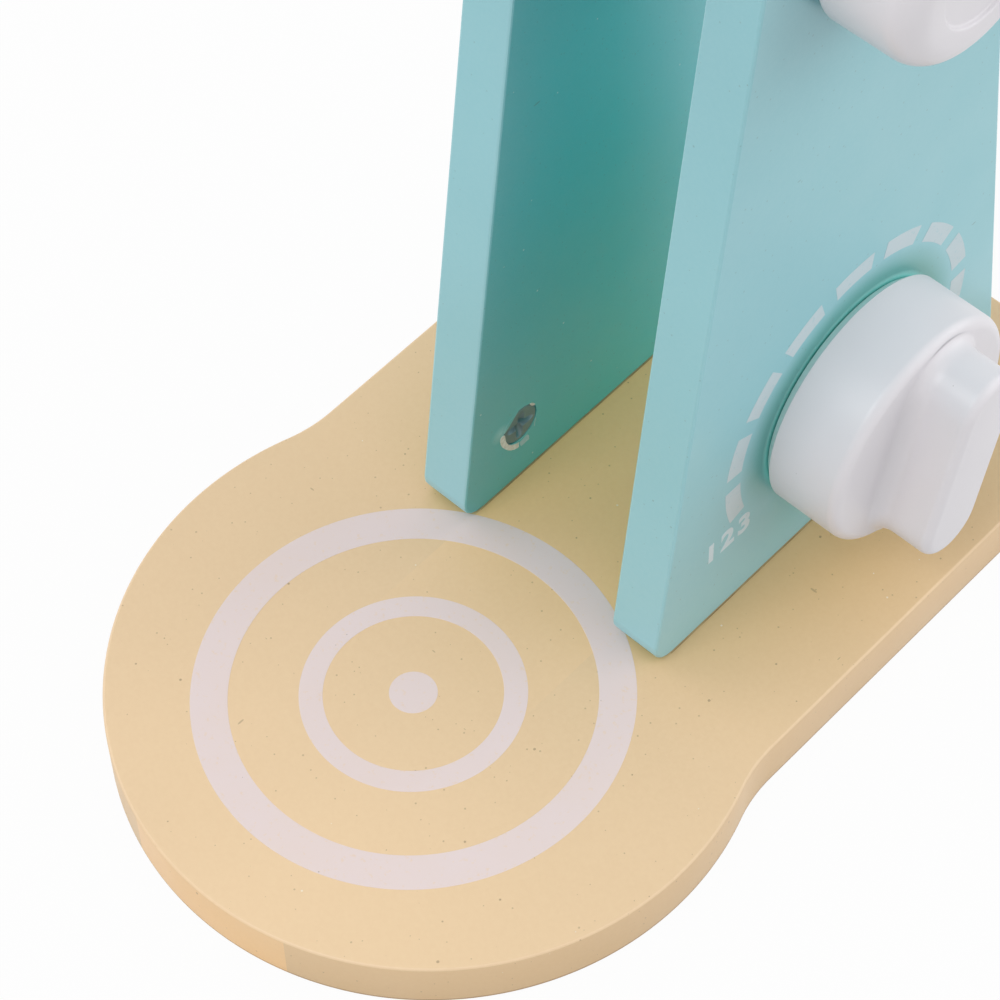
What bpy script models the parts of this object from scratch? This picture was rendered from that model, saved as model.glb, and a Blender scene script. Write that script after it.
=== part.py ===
"""Toy stand mixer of painted board.

A base board with a round front carries two side panels. The head turns on a
wooden dowel between them, a whisk hangs from the head on a steel spindle, and a
dial with a bar grip turns on the outside of the right panel.

World frame: metres, +Z up, +Y to the back, +X to the right seen from the front.
The origin is on the underside of the base, below the centre of the bowl place.
The head is modelled as it lies when it is lowered, and its empty raises it.
"""

import math

import bmesh
import bpy
from mathutils import Matrix, Vector

# Clearances
SEAT_GAP = 0.0003
RUNNING_GAP = 0.0001
CUT_OVERRUN = 0.001

# Base board
BASE_THICKNESS = 0.015
BASE_FRONT_RADIUS = 0.0775
BASE_FRONT_CENTRE_Y = 0.0072
BASE_WAIST_INSET = 0.00625
BASE_WAIST_RADIUS = 0.040
BASE_REAR_MARGIN = 0.014
BASE_REAR_CORNER_RADIUS = 0.030
BASE_EDGE_ROUND = 0.0008

# Side panels
PANEL_THICKNESS = 0.0136
PANEL_CLEAR_WIDTH = 0.0472
PANEL_FRONT_Y = 0.042
PANEL_FOOT_DEPTH = 0.126
PANEL_TOP_RADIUS = 0.0371
PANEL_FOOT_RADIUS = 0.006
PANEL_EDGE_ROUND = 0.0006
PIVOT_HEIGHT = 0.205

# Stop rail
RAIL_HEIGHT = 0.014
RAIL_FRONT_REACH = 0.011
RAIL_REAR_REACH = 0.017
BOARD_EDGE_ROUND = 0.0008

# Cam fittings between the panels and the base
CAM_RADIUS = 0.0056
CAM_LENGTH = 0.0096
CAM_HEIGHT = 0.0204
CAM_FRONT_INSET = 0.0205
CAM_RECESS_WIDTH = 0.0016
CAM_RECESS_REACH = 0.0036
CAM_RECESS_DEPTH = 0.0020
CAM_RIM_CHAMFER = 0.0004
BOLT_SHANK_RADIUS = 0.0030
BOLT_NECK_RADIUS = 0.0017
BOLT_HEAD_RADIUS = 0.0027
BOLT_HEAD_LENGTH = 0.0034
BOLT_NECK_LENGTH = 0.0032
BOLT_COLLAR_RADIUS = 0.0036
BOLT_COLLAR_LENGTH = 0.0012
BOLT_THREAD_RADIUS = 0.0026
BOLT_THREAD_LENGTH = 0.0100

# Wooden dowels
DOWEL_RADIUS = 0.0040
DOWEL_PANEL_REACH = 0.0085
DOWEL_BOARD_REACH = 0.0150
DOWEL_BASE_REACH = 0.0095
DOWEL_CHAMFER = 0.0008

# Head
HEAD_HEEL = 0.028
HEAD_TOP = 0.034
HEAD_REACH = 0.147
HEAD_REAR_CORNER = 0.018
HEAD_EDGE_ROUND = 0.0045
HEAD_RAISE_DEGREES = 90.0
HEAD_WASHER_THICKNESS = 0.0008
HEAD_WASHER_RADIUS = 0.0140

# Head pivot
PIVOT_RADIUS = 0.0060
PIVOT_KNOB_RADIUS = 0.0250
PIVOT_KNOB_LENGTH = 0.0240
PIVOT_KNOB_BACK_ROUND = 0.0025
PIVOT_KNOB_FRONT_ROUND = 0.0070
PIVOT_KNOB_DISH_RADIUS = 0.0140
PIVOT_KNOB_DISH_DEPTH = 0.0012
PIVOT_KNOB_SOCKET = 0.0160
KNOB_WASHER_THICKNESS = 0.0008
KNOB_WASHER_RADIUS = 0.0150
LOCK_SCREW_RADIUS = 0.0017
LOCK_SCREW_HEAD_RADIUS = 0.0034
LOCK_SCREW_SINK = 0.0006
LOCK_SCREW_PAST_AXIS = 0.0040

# Dial
DIAL_HEIGHT = 0.0469
DIAL_REAR_OFFSET = 0.0030
DIAL_RADIUS = 0.0304
DIAL_FACE_HEIGHT = 0.0217
DIAL_BACK_GAP = 0.0005
DIAL_BACK_CHAMFER = 0.0022
DIAL_FACE_ROUND = 0.0028
DIAL_REST_TURN_DEGREES = -15.2
GRIP_HALF_LENGTH = 0.0270
GRIP_HALF_WIDTH = 0.0095
GRIP_HEIGHT = 0.0150
GRIP_SIDE_COVE = 0.0045
GRIP_END_COVE = 0.0020
GRIP_TOP_ROUND = 0.0025
DIAL_BOLT_RADIUS = 0.0025
DIAL_BOLT_HEAD_RADIUS = 0.0048
DIAL_BOLT_HEAD_LENGTH = 0.0030
DIAL_BOLT_ENGAGEMENT = 0.0110
INSERT_RADIUS = 0.0036
INSERT_LENGTH = 0.0120
FRICTION_WASHER_RADIUS = 0.0130
FRICTION_WASHER_THICKNESS = 0.0006
PLAIN_WASHER_RADIUS = 0.0075
PLAIN_WASHER_THICKNESS = 0.0012

# Whisk
WHISK_REACH = 0.105
SPINDLE_RADIUS = 0.0030
SPINDLE_SOCKET = 0.0150
BUSH_RADIUS = 0.0050
BUSH_LENGTH = 0.0120
BUSH_FLANGE_RADIUS = 0.0085
BUSH_FLANGE_THICKNESS = 0.0020
TURN_KNOB_RADIUS = 0.0180
TURN_KNOB_WAIST_RADIUS = 0.0110
TURN_KNOB_HEIGHT = 0.0240
TURN_KNOB_ROUND = 0.0040
TURN_KNOB_FLUTE_DEPTH = 0.0012
TURN_KNOB_FLUTES = 6
HANDLE_LENGTH = 0.0320
HANDLE_TOP_RADIUS = 0.0110
HANDLE_WAIST_RADIUS = 0.0075
HANDLE_END_RADIUS = 0.0100
HANDLE_ROUND = 0.0015
CROSS_PIN_RADIUS = 0.0010
WIRE_RADIUS = 0.0012
WIRE_CIRCLE_RADIUS = 0.0062
WIRE_SOCKET = 0.0070
WIRE_HOLE_GAP = 0.00025
WIRE_STAGGER_GAP = 0.0005
WHISK_LENGTH = 0.110
WHISK_RADIUS = 0.026
WHISK_LOOPS = 4
WHISK_SWELL_POWER = 1.5

# Facets
ROUND_SEGMENTS = 36
SMALL_SEGMENTS = 20
WASHER_SEGMENTS = 16
PIN_SEGMENTS = 10
WIRE_HOLE_SEGMENTS = 8
WIRE_STEPS = 26
WAIST_STEPS = 3
ROUND_ANGLES = (0, 30, 60, 90)
COVE_ANGLES = (0, 22, 45, 68, 90)
OUTLINE_SAG = 0.0001
CORNER_SAG = 0.00014
SHARP_DEGREES = 36.0

# Places that follow from the sizes above
PIVOT_Y = PANEL_FRONT_Y + PANEL_FOOT_DEPTH / 2
PIVOT_Z = BASE_THICKNESS + PIVOT_HEIGHT
FOOT_TO_PIVOT = math.hypot(PANEL_FOOT_DEPTH / 2, PIVOT_HEIGHT)
LEAN_ANGLE = math.atan2(PANEL_FOOT_DEPTH / 2, PIVOT_HEIGHT) - math.asin(PANEL_TOP_RADIUS / FOOT_TO_PIVOT)
LEAN_SHARE = math.tan(LEAN_ANGLE)
BASE_HALF_WIDTH = BASE_FRONT_RADIUS - BASE_WAIST_INSET
PANEL_INNER_X = PANEL_CLEAR_WIDTH / 2
PANEL_OUTER_X = PANEL_INNER_X + PANEL_THICKNESS
PANEL_MIDDLE_X = PANEL_INNER_X + PANEL_THICKNESS / 2
PANEL_FOOT_Z = BASE_THICKNESS + SEAT_GAP
HEAD_WIDTH = PANEL_CLEAR_WIDTH - 2 * (HEAD_WASHER_THICKNESS + 2 * SEAT_GAP)
KNOB_GAP = KNOB_WASHER_THICKNESS + 2 * SEAT_GAP
DIAL_Y = PIVOT_Y + DIAL_REAR_OFFSET
DIAL_Z = BASE_THICKNESS + DIAL_HEIGHT
DIAL_SEAT = FRICTION_WASHER_THICKNESS + 2 * SEAT_GAP
SIDES = (("left", -1), ("right", 1))


def clear_scene():
    """Remove every object that the open file holds."""
    for item in list(bpy.data.objects):
        bpy.data.objects.remove(item, do_unlink=True)


# Finishes

def surface(name, colour, roughness, metallic=0.0):
    """Make a material with one Principled BSDF."""
    material = bpy.data.materials.new(name)
    material.use_nodes = True
    shader = material.node_tree.nodes["Principled BSDF"]
    shader.inputs["Base Color"].default_value = (*colour, 1.0)
    shader.inputs["Roughness"].default_value = roughness
    shader.inputs["Metallic"].default_value = metallic
    material.diffuse_color = (*colour, 1.0)
    return material


def cream_paint(piece):
    return surface(piece + "_cream_paint", (0.76, 0.60, 0.38), 0.45)


def mint_paint(piece):
    return surface(piece + "_mint_paint", (0.30, 0.55, 0.57), 0.45)


def white_paint(piece):
    return surface(piece + "_white_paint", (0.70, 0.70, 0.70), 0.40)


def bare_beech(piece):
    return surface(piece + "_beech", (0.62, 0.43, 0.25), 0.55)


def bright_steel(piece):
    return surface(piece + "_steel", (0.62, 0.62, 0.60), 0.25, 1.0)


def grey_zinc(piece):
    return surface(piece + "_zinc", (0.24, 0.26, 0.24), 0.45, 1.0)


def brass(piece):
    return surface(piece + "_brass", (0.72, 0.52, 0.24), 0.35, 1.0)


def white_nylon(piece):
    return surface(piece + "_nylon", (0.75, 0.74, 0.70), 0.50)


def grey_felt(piece):
    return surface(piece + "_felt", (0.30, 0.30, 0.30), 0.95)


# Outlines

def arc(centre, radius, start, end, sag=OUTLINE_SAG):
    """Points on a round stretch, with both ends; angles in degrees.

    The sag is how far the curve may stand off its facets.
    """
    step_angle = 2 * math.degrees(math.acos(1 - sag / radius))
    steps = max(2, math.ceil(abs(end - start) / step_angle))
    points = []
    for step in range(steps + 1):
        angle = math.radians(start + (end - start) * step / steps)
        points.append((centre[0] + radius * math.cos(angle), centre[1] + radius * math.sin(angle)))
    return points


def mirrored(half, middle, axis):
    """Close a half outline with its mirror image about a middle line."""
    other = []
    for point in reversed(half):
        flipped = list(point)
        flipped[axis] = 2 * middle - flipped[axis]
        if math.dist(flipped, point) > SEAT_GAP:
            other.append(tuple(flipped))
    return half + other


def base_outline():
    """Round front, a waist on each side, straight sides and a rear with round corners."""
    rear_y = PANEL_FRONT_Y + PANEL_FOOT_DEPTH + BASE_REAR_MARGIN
    across = BASE_HALF_WIDTH + BASE_WAIST_RADIUS
    reach = BASE_FRONT_RADIUS + BASE_WAIST_RADIUS
    tangent = math.degrees(math.acos(across / reach))
    waist_y = BASE_FRONT_CENTRE_Y + reach * math.sin(math.radians(tangent))
    corner = BASE_REAR_CORNER_RADIUS
    half = arc((0, BASE_FRONT_CENTRE_Y), BASE_FRONT_RADIUS, -90, tangent)
    half += arc((across, waist_y), BASE_WAIST_RADIUS, 180 + tangent, 180)[1:]
    half += arc((BASE_HALF_WIDTH - corner, rear_y - corner), corner, 0, 90)
    return mirrored(half, 0, 0)


def panel_outline():
    """Round feet, leaning edges and a round top about the pivot, as (y, z)."""
    lean = math.degrees(LEAN_ANGLE)
    foot_z = PANEL_FOOT_Z + PANEL_FOOT_RADIUS
    foot_y = (PANEL_FRONT_Y + LEAN_SHARE * (foot_z - BASE_THICKNESS)
              + PANEL_FOOT_RADIUS / math.cos(LEAN_ANGLE))
    half = arc((foot_y, foot_z), PANEL_FOOT_RADIUS, 270, 180 - lean)
    half += arc((PIVOT_Y, PIVOT_Z), PANEL_TOP_RADIUS, 180 - lean, 90)
    return mirrored(half, PIVOT_Y, 0)


def head_outline():
    """The lowered head about its pivot, as (y, z).

    The heel is a quarter round about the pivot. The flats on both sides of it
    are as far from the pivot as it is, so each lands on the stop rail.
    """
    nose = (HEAD_TOP + HEAD_HEEL) / 2
    corner = HEAD_REAR_CORNER
    outline = arc((0, 0), HEAD_HEEL, 270, 360)
    outline += arc((HEAD_HEEL - corner, HEAD_TOP - corner), corner, 0, 90)
    outline += arc((nose - HEAD_REACH, HEAD_TOP - nose), nose, 90, 270)
    return outline


# Makers

def empty(name, location, parent=None, turn_x=0.0):
    """Place an axis that moving pieces hang from."""
    axis = bpy.data.objects.new(name, None)
    axis.location = location
    axis.rotation_euler = (turn_x, 0, 0)
    axis.parent = parent
    bpy.context.collection.objects.link(axis)
    return axis


def add_object(name, shape, material, parent=None):
    """Turn a bmesh into a named object with one material."""
    bmesh.ops.recalc_face_normals(shape, faces=shape.faces)
    mesh = bpy.data.meshes.new(name)
    shape.to_mesh(mesh)
    shape.free()
    mesh.shade_smooth()
    mesh.set_sharp_from_angle(angle=math.radians(SHARP_DEGREES))
    piece = bpy.data.objects.new(name, mesh)
    piece.parent = parent
    if material:
        mesh.materials.append(material)
    bpy.context.collection.objects.link(piece)
    return piece


def extruded(corners, course):
    """Sweep a flat outline of points along a straight course."""
    shape = bmesh.new()
    face = shape.faces.new([shape.verts.new(corner) for corner in corners])
    swept = bmesh.ops.extrude_face_region(shape, geom=[face])
    moved = [item for item in swept["geom"] if isinstance(item, bmesh.types.BMVert)]
    bmesh.ops.translate(shape, vec=course, verts=moved)
    return shape


def board(name, outline, low_x, thickness, edge_round, material, parent=None, steps=2):
    """Extrude an outline in (y, z) along +X and round the edges of both faces."""
    shape = extruded([(low_x, y, z) for y, z in outline], (thickness, 0, 0))
    piece = add_object(name, shape, material, parent)
    round_edges(piece, edge_round, steps)
    return piece


def round_edges(piece, width, steps):
    """Round the sharp edges of a board, and leave the facets of its curves."""
    bevel = piece.modifiers.new("edge_round", "BEVEL")
    bevel.width = width
    bevel.segments = steps
    bevel.limit_method = "ANGLE"
    bevel.angle_limit = math.radians(SHARP_DEGREES)


def turned(name, profile, material, parent=None, segments=ROUND_SEGMENTS):
    """Spin a profile of (radius, height) about the local Z axis.

    A profile that starts or ends off the axis is closed into a ring.
    """
    shape = bmesh.new()
    points = [shape.verts.new((radius, 0, height)) for radius, height in profile]
    edges = [shape.edges.new(pair) for pair in zip(points, points[1:])]
    if profile[0][0] > 0:
        edges.append(shape.edges.new((points[-1], points[0])))
    bmesh.ops.spin(shape, geom=points + edges, axis=(0, 0, 1), cent=(0, 0, 0),
                   angle=math.tau, steps=segments, use_merge=True)
    bmesh.ops.remove_doubles(shape, verts=shape.verts, dist=SEAT_GAP / 100)
    return add_object(name, shape, material, parent)


def lofted(name, rings, material, parent=None):
    """Bridge rings of equally many points in order and close both ends."""
    shape = bmesh.new()
    loops = [[shape.verts.new(point) for point in ring] for ring in rings]
    for low, high in zip(loops, loops[1:]):
        count = len(low)
        for index in range(count):
            after = (index + 1) % count
            shape.faces.new((low[index], low[after], high[after], high[index]))
    shape.faces.new(loops[0])
    shape.faces.new(loops[-1])
    return add_object(name, shape, material, parent)


def cut(piece, cutter):
    """Take a cutter out of a piece, and keep the cutter as a guide."""
    cutter.display_type = "WIRE"
    cutter.hide_render = True
    boolean = piece.modifiers.new(cutter.name, "BOOLEAN")
    boolean.operation = "DIFFERENCE"
    boolean.solver = "EXACT"
    boolean.object = cutter


def bore(piece, start, direction, length, radius, segments=SMALL_SEGMENTS):
    """Drill a round hole from a point on the face of a piece along a direction."""
    course = Vector(direction).normalized()
    reach = length + CUT_OVERRUN
    middle = Vector(start) + course * (reach / 2 - CUT_OVERRUN)
    shape = bmesh.new()
    place = Matrix.Translation(middle) @ course.to_track_quat("Z", "Y").to_matrix().to_4x4()
    bmesh.ops.create_cone(shape, cap_ends=True, segments=segments, radius1=radius, radius2=radius,
                          depth=reach, matrix=place)
    drill = add_object(piece.name + "_bore", shape, None, piece.parent)
    cut(piece, drill)
    return drill


def bore_through(piece, start, direction, length, radius, segments=SMALL_SEGMENTS):
    """Drill right through a piece of a known thickness."""
    bore(piece, start, direction, length + CUT_OVERRUN, radius, segments)


def along_x(piece, location, side=1):
    """Lay a turned piece on its side, with its top towards the side given."""
    piece.location = location
    piece.rotation_euler = (0, side * math.pi / 2, 0)
    return piece


def rounded_corner(corner_radius, corner_height, size, start, end):
    """Profile points round a corner whose centre lies inside the piece."""
    return arc((corner_radius, corner_height), size, start, end, CORNER_SAG)


# Base board

def make_base_board():
    shape = extruded([(x, y, 0) for x, y in base_outline()], (0, 0, BASE_THICKNESS))
    base = add_object("base_board", shape, cream_paint("base_board"))
    round_edges(base, BASE_EDGE_ROUND, 2)
    for _, side in SIDES:
        x = side * PANEL_MIDDLE_X
        for y in cam_places():
            bore(base, (x, y, BASE_THICKNESS), (0, 0, -1), BOLT_THREAD_LENGTH + SEAT_GAP,
                 BOLT_THREAD_RADIUS + SEAT_GAP, PIN_SEGMENTS)
        bore(base, (x, PIVOT_Y, BASE_THICKNESS), (0, 0, -1), DOWEL_BASE_REACH + SEAT_GAP,
             DOWEL_RADIUS + SEAT_GAP, PIN_SEGMENTS)
    return base


# Side panels and what joins them

def cam_places():
    """The two places along a panel where a cam holds it down."""
    return (PANEL_FRONT_Y + CAM_FRONT_INSET, PANEL_FRONT_Y + PANEL_FOOT_DEPTH - CAM_FRONT_INSET)


def rail_box():
    """The stop rail's section, as low and high (y, z)."""
    top = PIVOT_Z - HEAD_HEEL - SEAT_GAP
    return ((PIVOT_Y - RAIL_FRONT_REACH, top - RAIL_HEIGHT), (PIVOT_Y + RAIL_REAR_REACH, top))


def rail_dowel_place():
    """Centre of the stop rail's section."""
    low, high = rail_box()
    return ((low[0] + high[0]) / 2, (low[1] + high[1]) / 2)


def make_side_panel(word, side):
    name = word + "_side_panel"
    low_x = min(side * PANEL_INNER_X, side * PANEL_OUTER_X)
    panel = board(name, panel_outline(), low_x, PANEL_THICKNESS, PANEL_EDGE_ROUND, mint_paint(name))
    inner = side * PANEL_INNER_X
    middle = side * PANEL_MIDDLE_X
    outward = (side, 0, 0)
    for y in cam_places():
        bore(panel, (inner, y, BASE_THICKNESS + CAM_HEIGHT), outward, CAM_LENGTH + SEAT_GAP,
             CAM_RADIUS + SEAT_GAP)
        bore(panel, (middle, y, PANEL_FOOT_Z), (0, 0, 1), CAM_HEIGHT, BOLT_COLLAR_RADIUS + SEAT_GAP,
             PIN_SEGMENTS)
    bore(panel, (middle, PIVOT_Y, PANEL_FOOT_Z), (0, 0, 1), DOWEL_BOARD_REACH + SEAT_GAP,
         DOWEL_RADIUS + SEAT_GAP, PIN_SEGMENTS)
    bore(panel, (inner, *rail_dowel_place()), outward, DOWEL_PANEL_REACH + SEAT_GAP,
         DOWEL_RADIUS + SEAT_GAP, PIN_SEGMENTS)
    bore_through(panel, (inner, PIVOT_Y, PIVOT_Z), outward, PANEL_THICKNESS,
                 PIVOT_RADIUS + RUNNING_GAP)
    if side > 0:
        bore_through(panel, (inner, DIAL_Y, DIAL_Z), outward, PANEL_THICKNESS,
                     DIAL_BOLT_RADIUS + RUNNING_GAP)
    return panel


def make_stop_rail():
    width = PANEL_CLEAR_WIDTH - 2 * SEAT_GAP
    low, high = rail_box()
    outline = [low, (high[0], low[1]), high, (low[0], high[1])]
    rail = board("stop_rail", outline, -width / 2, width, BOARD_EDGE_ROUND, mint_paint("stop_rail"))
    y, z = rail_dowel_place()
    for _, side in SIDES:
        bore(rail, (side * width / 2, y, z), (-side, 0, 0), DOWEL_BOARD_REACH + SEAT_GAP,
             DOWEL_RADIUS + SEAT_GAP, PIN_SEGMENTS)
    return rail


def make_dowel(name, length):
    """A plain wooden dowel with chamfered ends, standing on its local origin."""
    profile = [(0, 0), (DOWEL_RADIUS - DOWEL_CHAMFER, 0), (DOWEL_RADIUS, DOWEL_CHAMFER),
               (DOWEL_RADIUS, length - DOWEL_CHAMFER), (DOWEL_RADIUS - DOWEL_CHAMFER, length), (0, length)]
    return turned(name, profile, bare_beech(name), segments=PIN_SEGMENTS)


def make_rail_dowels():
    """Dowels that run from the panels into the stop rail."""
    length = DOWEL_PANEL_REACH + DOWEL_BOARD_REACH
    for word, side in SIDES:
        dowel = make_dowel(word + "_rail_dowel", length)
        start = side * (PANEL_INNER_X - DOWEL_BOARD_REACH)
        along_x(dowel, (start, *rail_dowel_place()), side)


def make_foot_dowels():
    """One upright dowel between the base board and each panel."""
    for word, side in SIDES:
        dowel = make_dowel(word + "_foot_dowel", DOWEL_BASE_REACH + DOWEL_BOARD_REACH)
        dowel.location = (side * PANEL_MIDDLE_X, PIVOT_Y, BASE_THICKNESS - DOWEL_BASE_REACH)


def make_cam_bolt(name, location):
    """A screwed bolt whose head is gripped by the cam; the origin is on the base's top."""
    head_low = CAM_HEIGHT - BOLT_HEAD_LENGTH / 2
    head_high = CAM_HEIGHT + BOLT_HEAD_LENGTH / 2
    neck_low = head_low - BOLT_NECK_LENGTH
    collar = BOLT_COLLAR_LENGTH + SEAT_GAP
    profile = [(0, -BOLT_THREAD_LENGTH), (BOLT_NECK_RADIUS, -BOLT_THREAD_LENGTH),
               (BOLT_THREAD_RADIUS, BOLT_THREAD_RADIUS - BOLT_THREAD_LENGTH), (BOLT_THREAD_RADIUS, SEAT_GAP),
               (BOLT_COLLAR_RADIUS, SEAT_GAP), (BOLT_COLLAR_RADIUS, collar), (BOLT_SHANK_RADIUS, collar),
               (BOLT_SHANK_RADIUS, neck_low), (BOLT_NECK_RADIUS, neck_low), (BOLT_NECK_RADIUS, head_low),
               (BOLT_HEAD_RADIUS, head_low), (BOLT_HEAD_RADIUS, head_high), (0, head_high)]
    bolt = turned(name, profile, bright_steel(name), segments=PIN_SEGMENTS)
    bolt.location = location
    return bolt


def make_cam_lock(name, location, side):
    """A round cam with a cross recess and a mouth for the bolt's head."""
    chamfer = CAM_RIM_CHAMFER
    profile = [(0, 0), (CAM_RADIUS, 0), (CAM_RADIUS, CAM_LENGTH - chamfer),
               (CAM_RADIUS - chamfer, CAM_LENGTH), (0, CAM_LENGTH)]
    cam = turned(name, profile, grey_zinc(name), segments=SMALL_SEGMENTS)
    across = CAM_RECESS_WIDTH / 2
    floor = CAM_LENGTH - CAM_RECESS_DEPTH
    reach = CAM_RECESS_REACH
    cross = [(reach, -across), (reach, across), (across, across), (across, reach), (-across, reach),
             (-across, across), (-reach, across), (-reach, -across), (-across, -across),
             (-across, -reach), (across, -reach), (across, -across)]
    shape = extruded([(x, y, floor) for x, y in cross], (0, 0, CAM_RECESS_DEPTH + CUT_OVERRUN))
    recess = add_object(name + "_recess", shape, None)
    cut(cam, recess)
    mouth_z = CAM_LENGTH - PANEL_THICKNESS / 2
    mouth = bore(cam, (-side * CAM_RADIUS, 0, mouth_z), (side, 0, 0),
                 CAM_RADIUS + BOLT_HEAD_LENGTH / 2 + SEAT_GAP, BOLT_SHANK_RADIUS + SEAT_GAP, PIN_SEGMENTS)
    for item in (cam, recess, mouth):
        along_x(item, location, -side)
    return cam


def make_cam_fittings():
    """Four cams in the inner faces of the panels, and the bolts that they grip."""
    for word, side in SIDES:
        for end, y in zip(("front", "rear"), cam_places()):
            label = word + "_" + end
            make_cam_bolt(label + "_cam_bolt", (side * PANEL_MIDDLE_X, y, BASE_THICKNESS))
            back = side * (PANEL_INNER_X + CAM_LENGTH)
            make_cam_lock(label + "_cam_lock", (back, y, BASE_THICKNESS + CAM_HEIGHT), side)


# Head and its pivot

def washer_profile(inner, outer, thickness):
    """A flat ring that stands on its local origin."""
    return [(inner, 0), (outer, 0), (outer, thickness), (inner, thickness)]


def make_head_block(head):
    block = board("head_block", head_outline(), -HEAD_WIDTH / 2, HEAD_WIDTH, HEAD_EDGE_ROUND,
                  mint_paint("head_block"), head, 3)
    bore_through(block, (-HEAD_WIDTH / 2, 0, 0), (1, 0, 0), HEAD_WIDTH, PIVOT_RADIUS + SEAT_GAP)
    bore_through(block, (0, -WHISK_REACH, -HEAD_HEEL), (0, 0, 1), HEAD_HEEL + HEAD_TOP,
                 BUSH_RADIUS + SEAT_GAP)
    bore(block, (0, HEAD_HEEL, 0), (0, -1, 0), HEAD_HEEL, LOCK_SCREW_RADIUS + SEAT_GAP, PIN_SEGMENTS)
    bore(block, (0, HEAD_HEEL, 0), (0, -1, 0), LOCK_SCREW_SINK + LOCK_SCREW_HEAD_RADIUS,
         LOCK_SCREW_HEAD_RADIUS + SEAT_GAP, PIN_SEGMENTS)
    return block


def make_pivot_dowel(head):
    """The round bar that carries the head, with its ends in the two knobs."""
    reach = PANEL_OUTER_X + KNOB_GAP + PIVOT_KNOB_SOCKET - SEAT_GAP
    inset = PIVOT_RADIUS - DOWEL_CHAMFER
    profile = [(0, -reach), (inset, -reach), (PIVOT_RADIUS, DOWEL_CHAMFER - reach),
               (PIVOT_RADIUS, reach - DOWEL_CHAMFER), (inset, reach), (0, reach)]
    dowel = turned("pivot_dowel", profile, bare_beech("pivot_dowel"), head, SMALL_SEGMENTS)
    along_x(dowel, (0, 0, 0))
    bore(dowel, (0, PIVOT_RADIUS, 0), (0, -1, 0), PIVOT_RADIUS + LOCK_SCREW_PAST_AXIS + SEAT_GAP,
         LOCK_SCREW_RADIUS + SEAT_GAP, PIN_SEGMENTS)
    return dowel


def make_pivot_knob(head, word, side):
    """A turned knob with a round rim, a shallow dish and a blind socket for the dowel."""
    back = PIVOT_KNOB_BACK_ROUND
    front = PIVOT_KNOB_FRONT_ROUND
    socket = PIVOT_RADIUS + SEAT_GAP
    top = PIVOT_KNOB_LENGTH
    floor = top - PIVOT_KNOB_DISH_DEPTH
    profile = [(0, PIVOT_KNOB_SOCKET), (socket, PIVOT_KNOB_SOCKET), (socket, 0)]
    profile += rounded_corner(PIVOT_KNOB_RADIUS - back, back, back, -90, 0)
    profile += rounded_corner(PIVOT_KNOB_RADIUS - front, top - front, front, 0, 90)
    profile += [(PIVOT_KNOB_DISH_RADIUS, top), (PIVOT_KNOB_DISH_RADIUS - PIVOT_KNOB_DISH_DEPTH, floor),
                (0, floor)]
    name = word + "_pivot_knob"
    knob = turned(name, profile, white_paint(name), head)
    along_x(knob, (side * (PANEL_OUTER_X + KNOB_GAP), 0, 0), side)
    return knob


def make_pivot_washers():
    """Nylon washers between head and panels, felt ones between knobs and panels."""
    hole = PIVOT_RADIUS + SEAT_GAP
    for word, side in SIDES:
        inner = turned(word + "_head_washer", washer_profile(hole, HEAD_WASHER_RADIUS, HEAD_WASHER_THICKNESS),
                       white_nylon(word + "_head_washer"), segments=WASHER_SEGMENTS)
        along_x(inner, (side * (HEAD_WIDTH / 2 + SEAT_GAP), PIVOT_Y, PIVOT_Z), side)
        outer = turned(word + "_knob_washer", washer_profile(hole, KNOB_WASHER_RADIUS, KNOB_WASHER_THICKNESS),
                       grey_felt(word + "_knob_washer"), segments=WASHER_SEGMENTS)
        along_x(outer, (side * (PANEL_OUTER_X + SEAT_GAP), PIVOT_Y, PIVOT_Z), side)


def make_lock_screw(head):
    """A countersunk screw from the rear of the heel through the pivot dowel."""
    top = HEAD_HEEL - LOCK_SCREW_SINK
    neck = top - (LOCK_SCREW_HEAD_RADIUS - LOCK_SCREW_RADIUS)
    tip = -LOCK_SCREW_PAST_AXIS
    profile = [(0, tip), (LOCK_SCREW_RADIUS, tip + 2 * LOCK_SCREW_RADIUS), (LOCK_SCREW_RADIUS, neck),
               (LOCK_SCREW_HEAD_RADIUS, top), (0, top)]
    screw = turned("head_lock_screw", profile, bright_steel("head_lock_screw"), head, PIN_SEGMENTS)
    screw.rotation_euler = (-math.pi / 2, 0, 0)
    return screw


# Whisk

def make_bush(name, head, height, upward):
    """A flanged bush in the head; the flange lies on the face and the tube inside."""
    inner = SPINDLE_RADIUS + RUNNING_GAP
    flange = BUSH_FLANGE_THICKNESS + SEAT_GAP
    profile = [(inner, flange), (inner, -BUSH_LENGTH), (BUSH_RADIUS, -BUSH_LENGTH), (BUSH_RADIUS, SEAT_GAP),
               (BUSH_FLANGE_RADIUS, SEAT_GAP), (BUSH_FLANGE_RADIUS, flange)]
    bush = turned(name, profile, white_nylon(name), head, WASHER_SEGMENTS)
    bush.location = (0, -WHISK_REACH, height)
    if not upward:
        bush.rotation_euler = (math.pi, 0, 0)
    return bush


def knob_foot():
    """Height of the turning knob's underside above the pivot."""
    return HEAD_TOP + BUSH_FLANGE_THICKNESS + 2 * SEAT_GAP


def handle_top():
    """Height of the whisk handle's upper end, below the pivot."""
    return -(HEAD_HEEL + BUSH_FLANGE_THICKNESS + 2 * SEAT_GAP)


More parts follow.
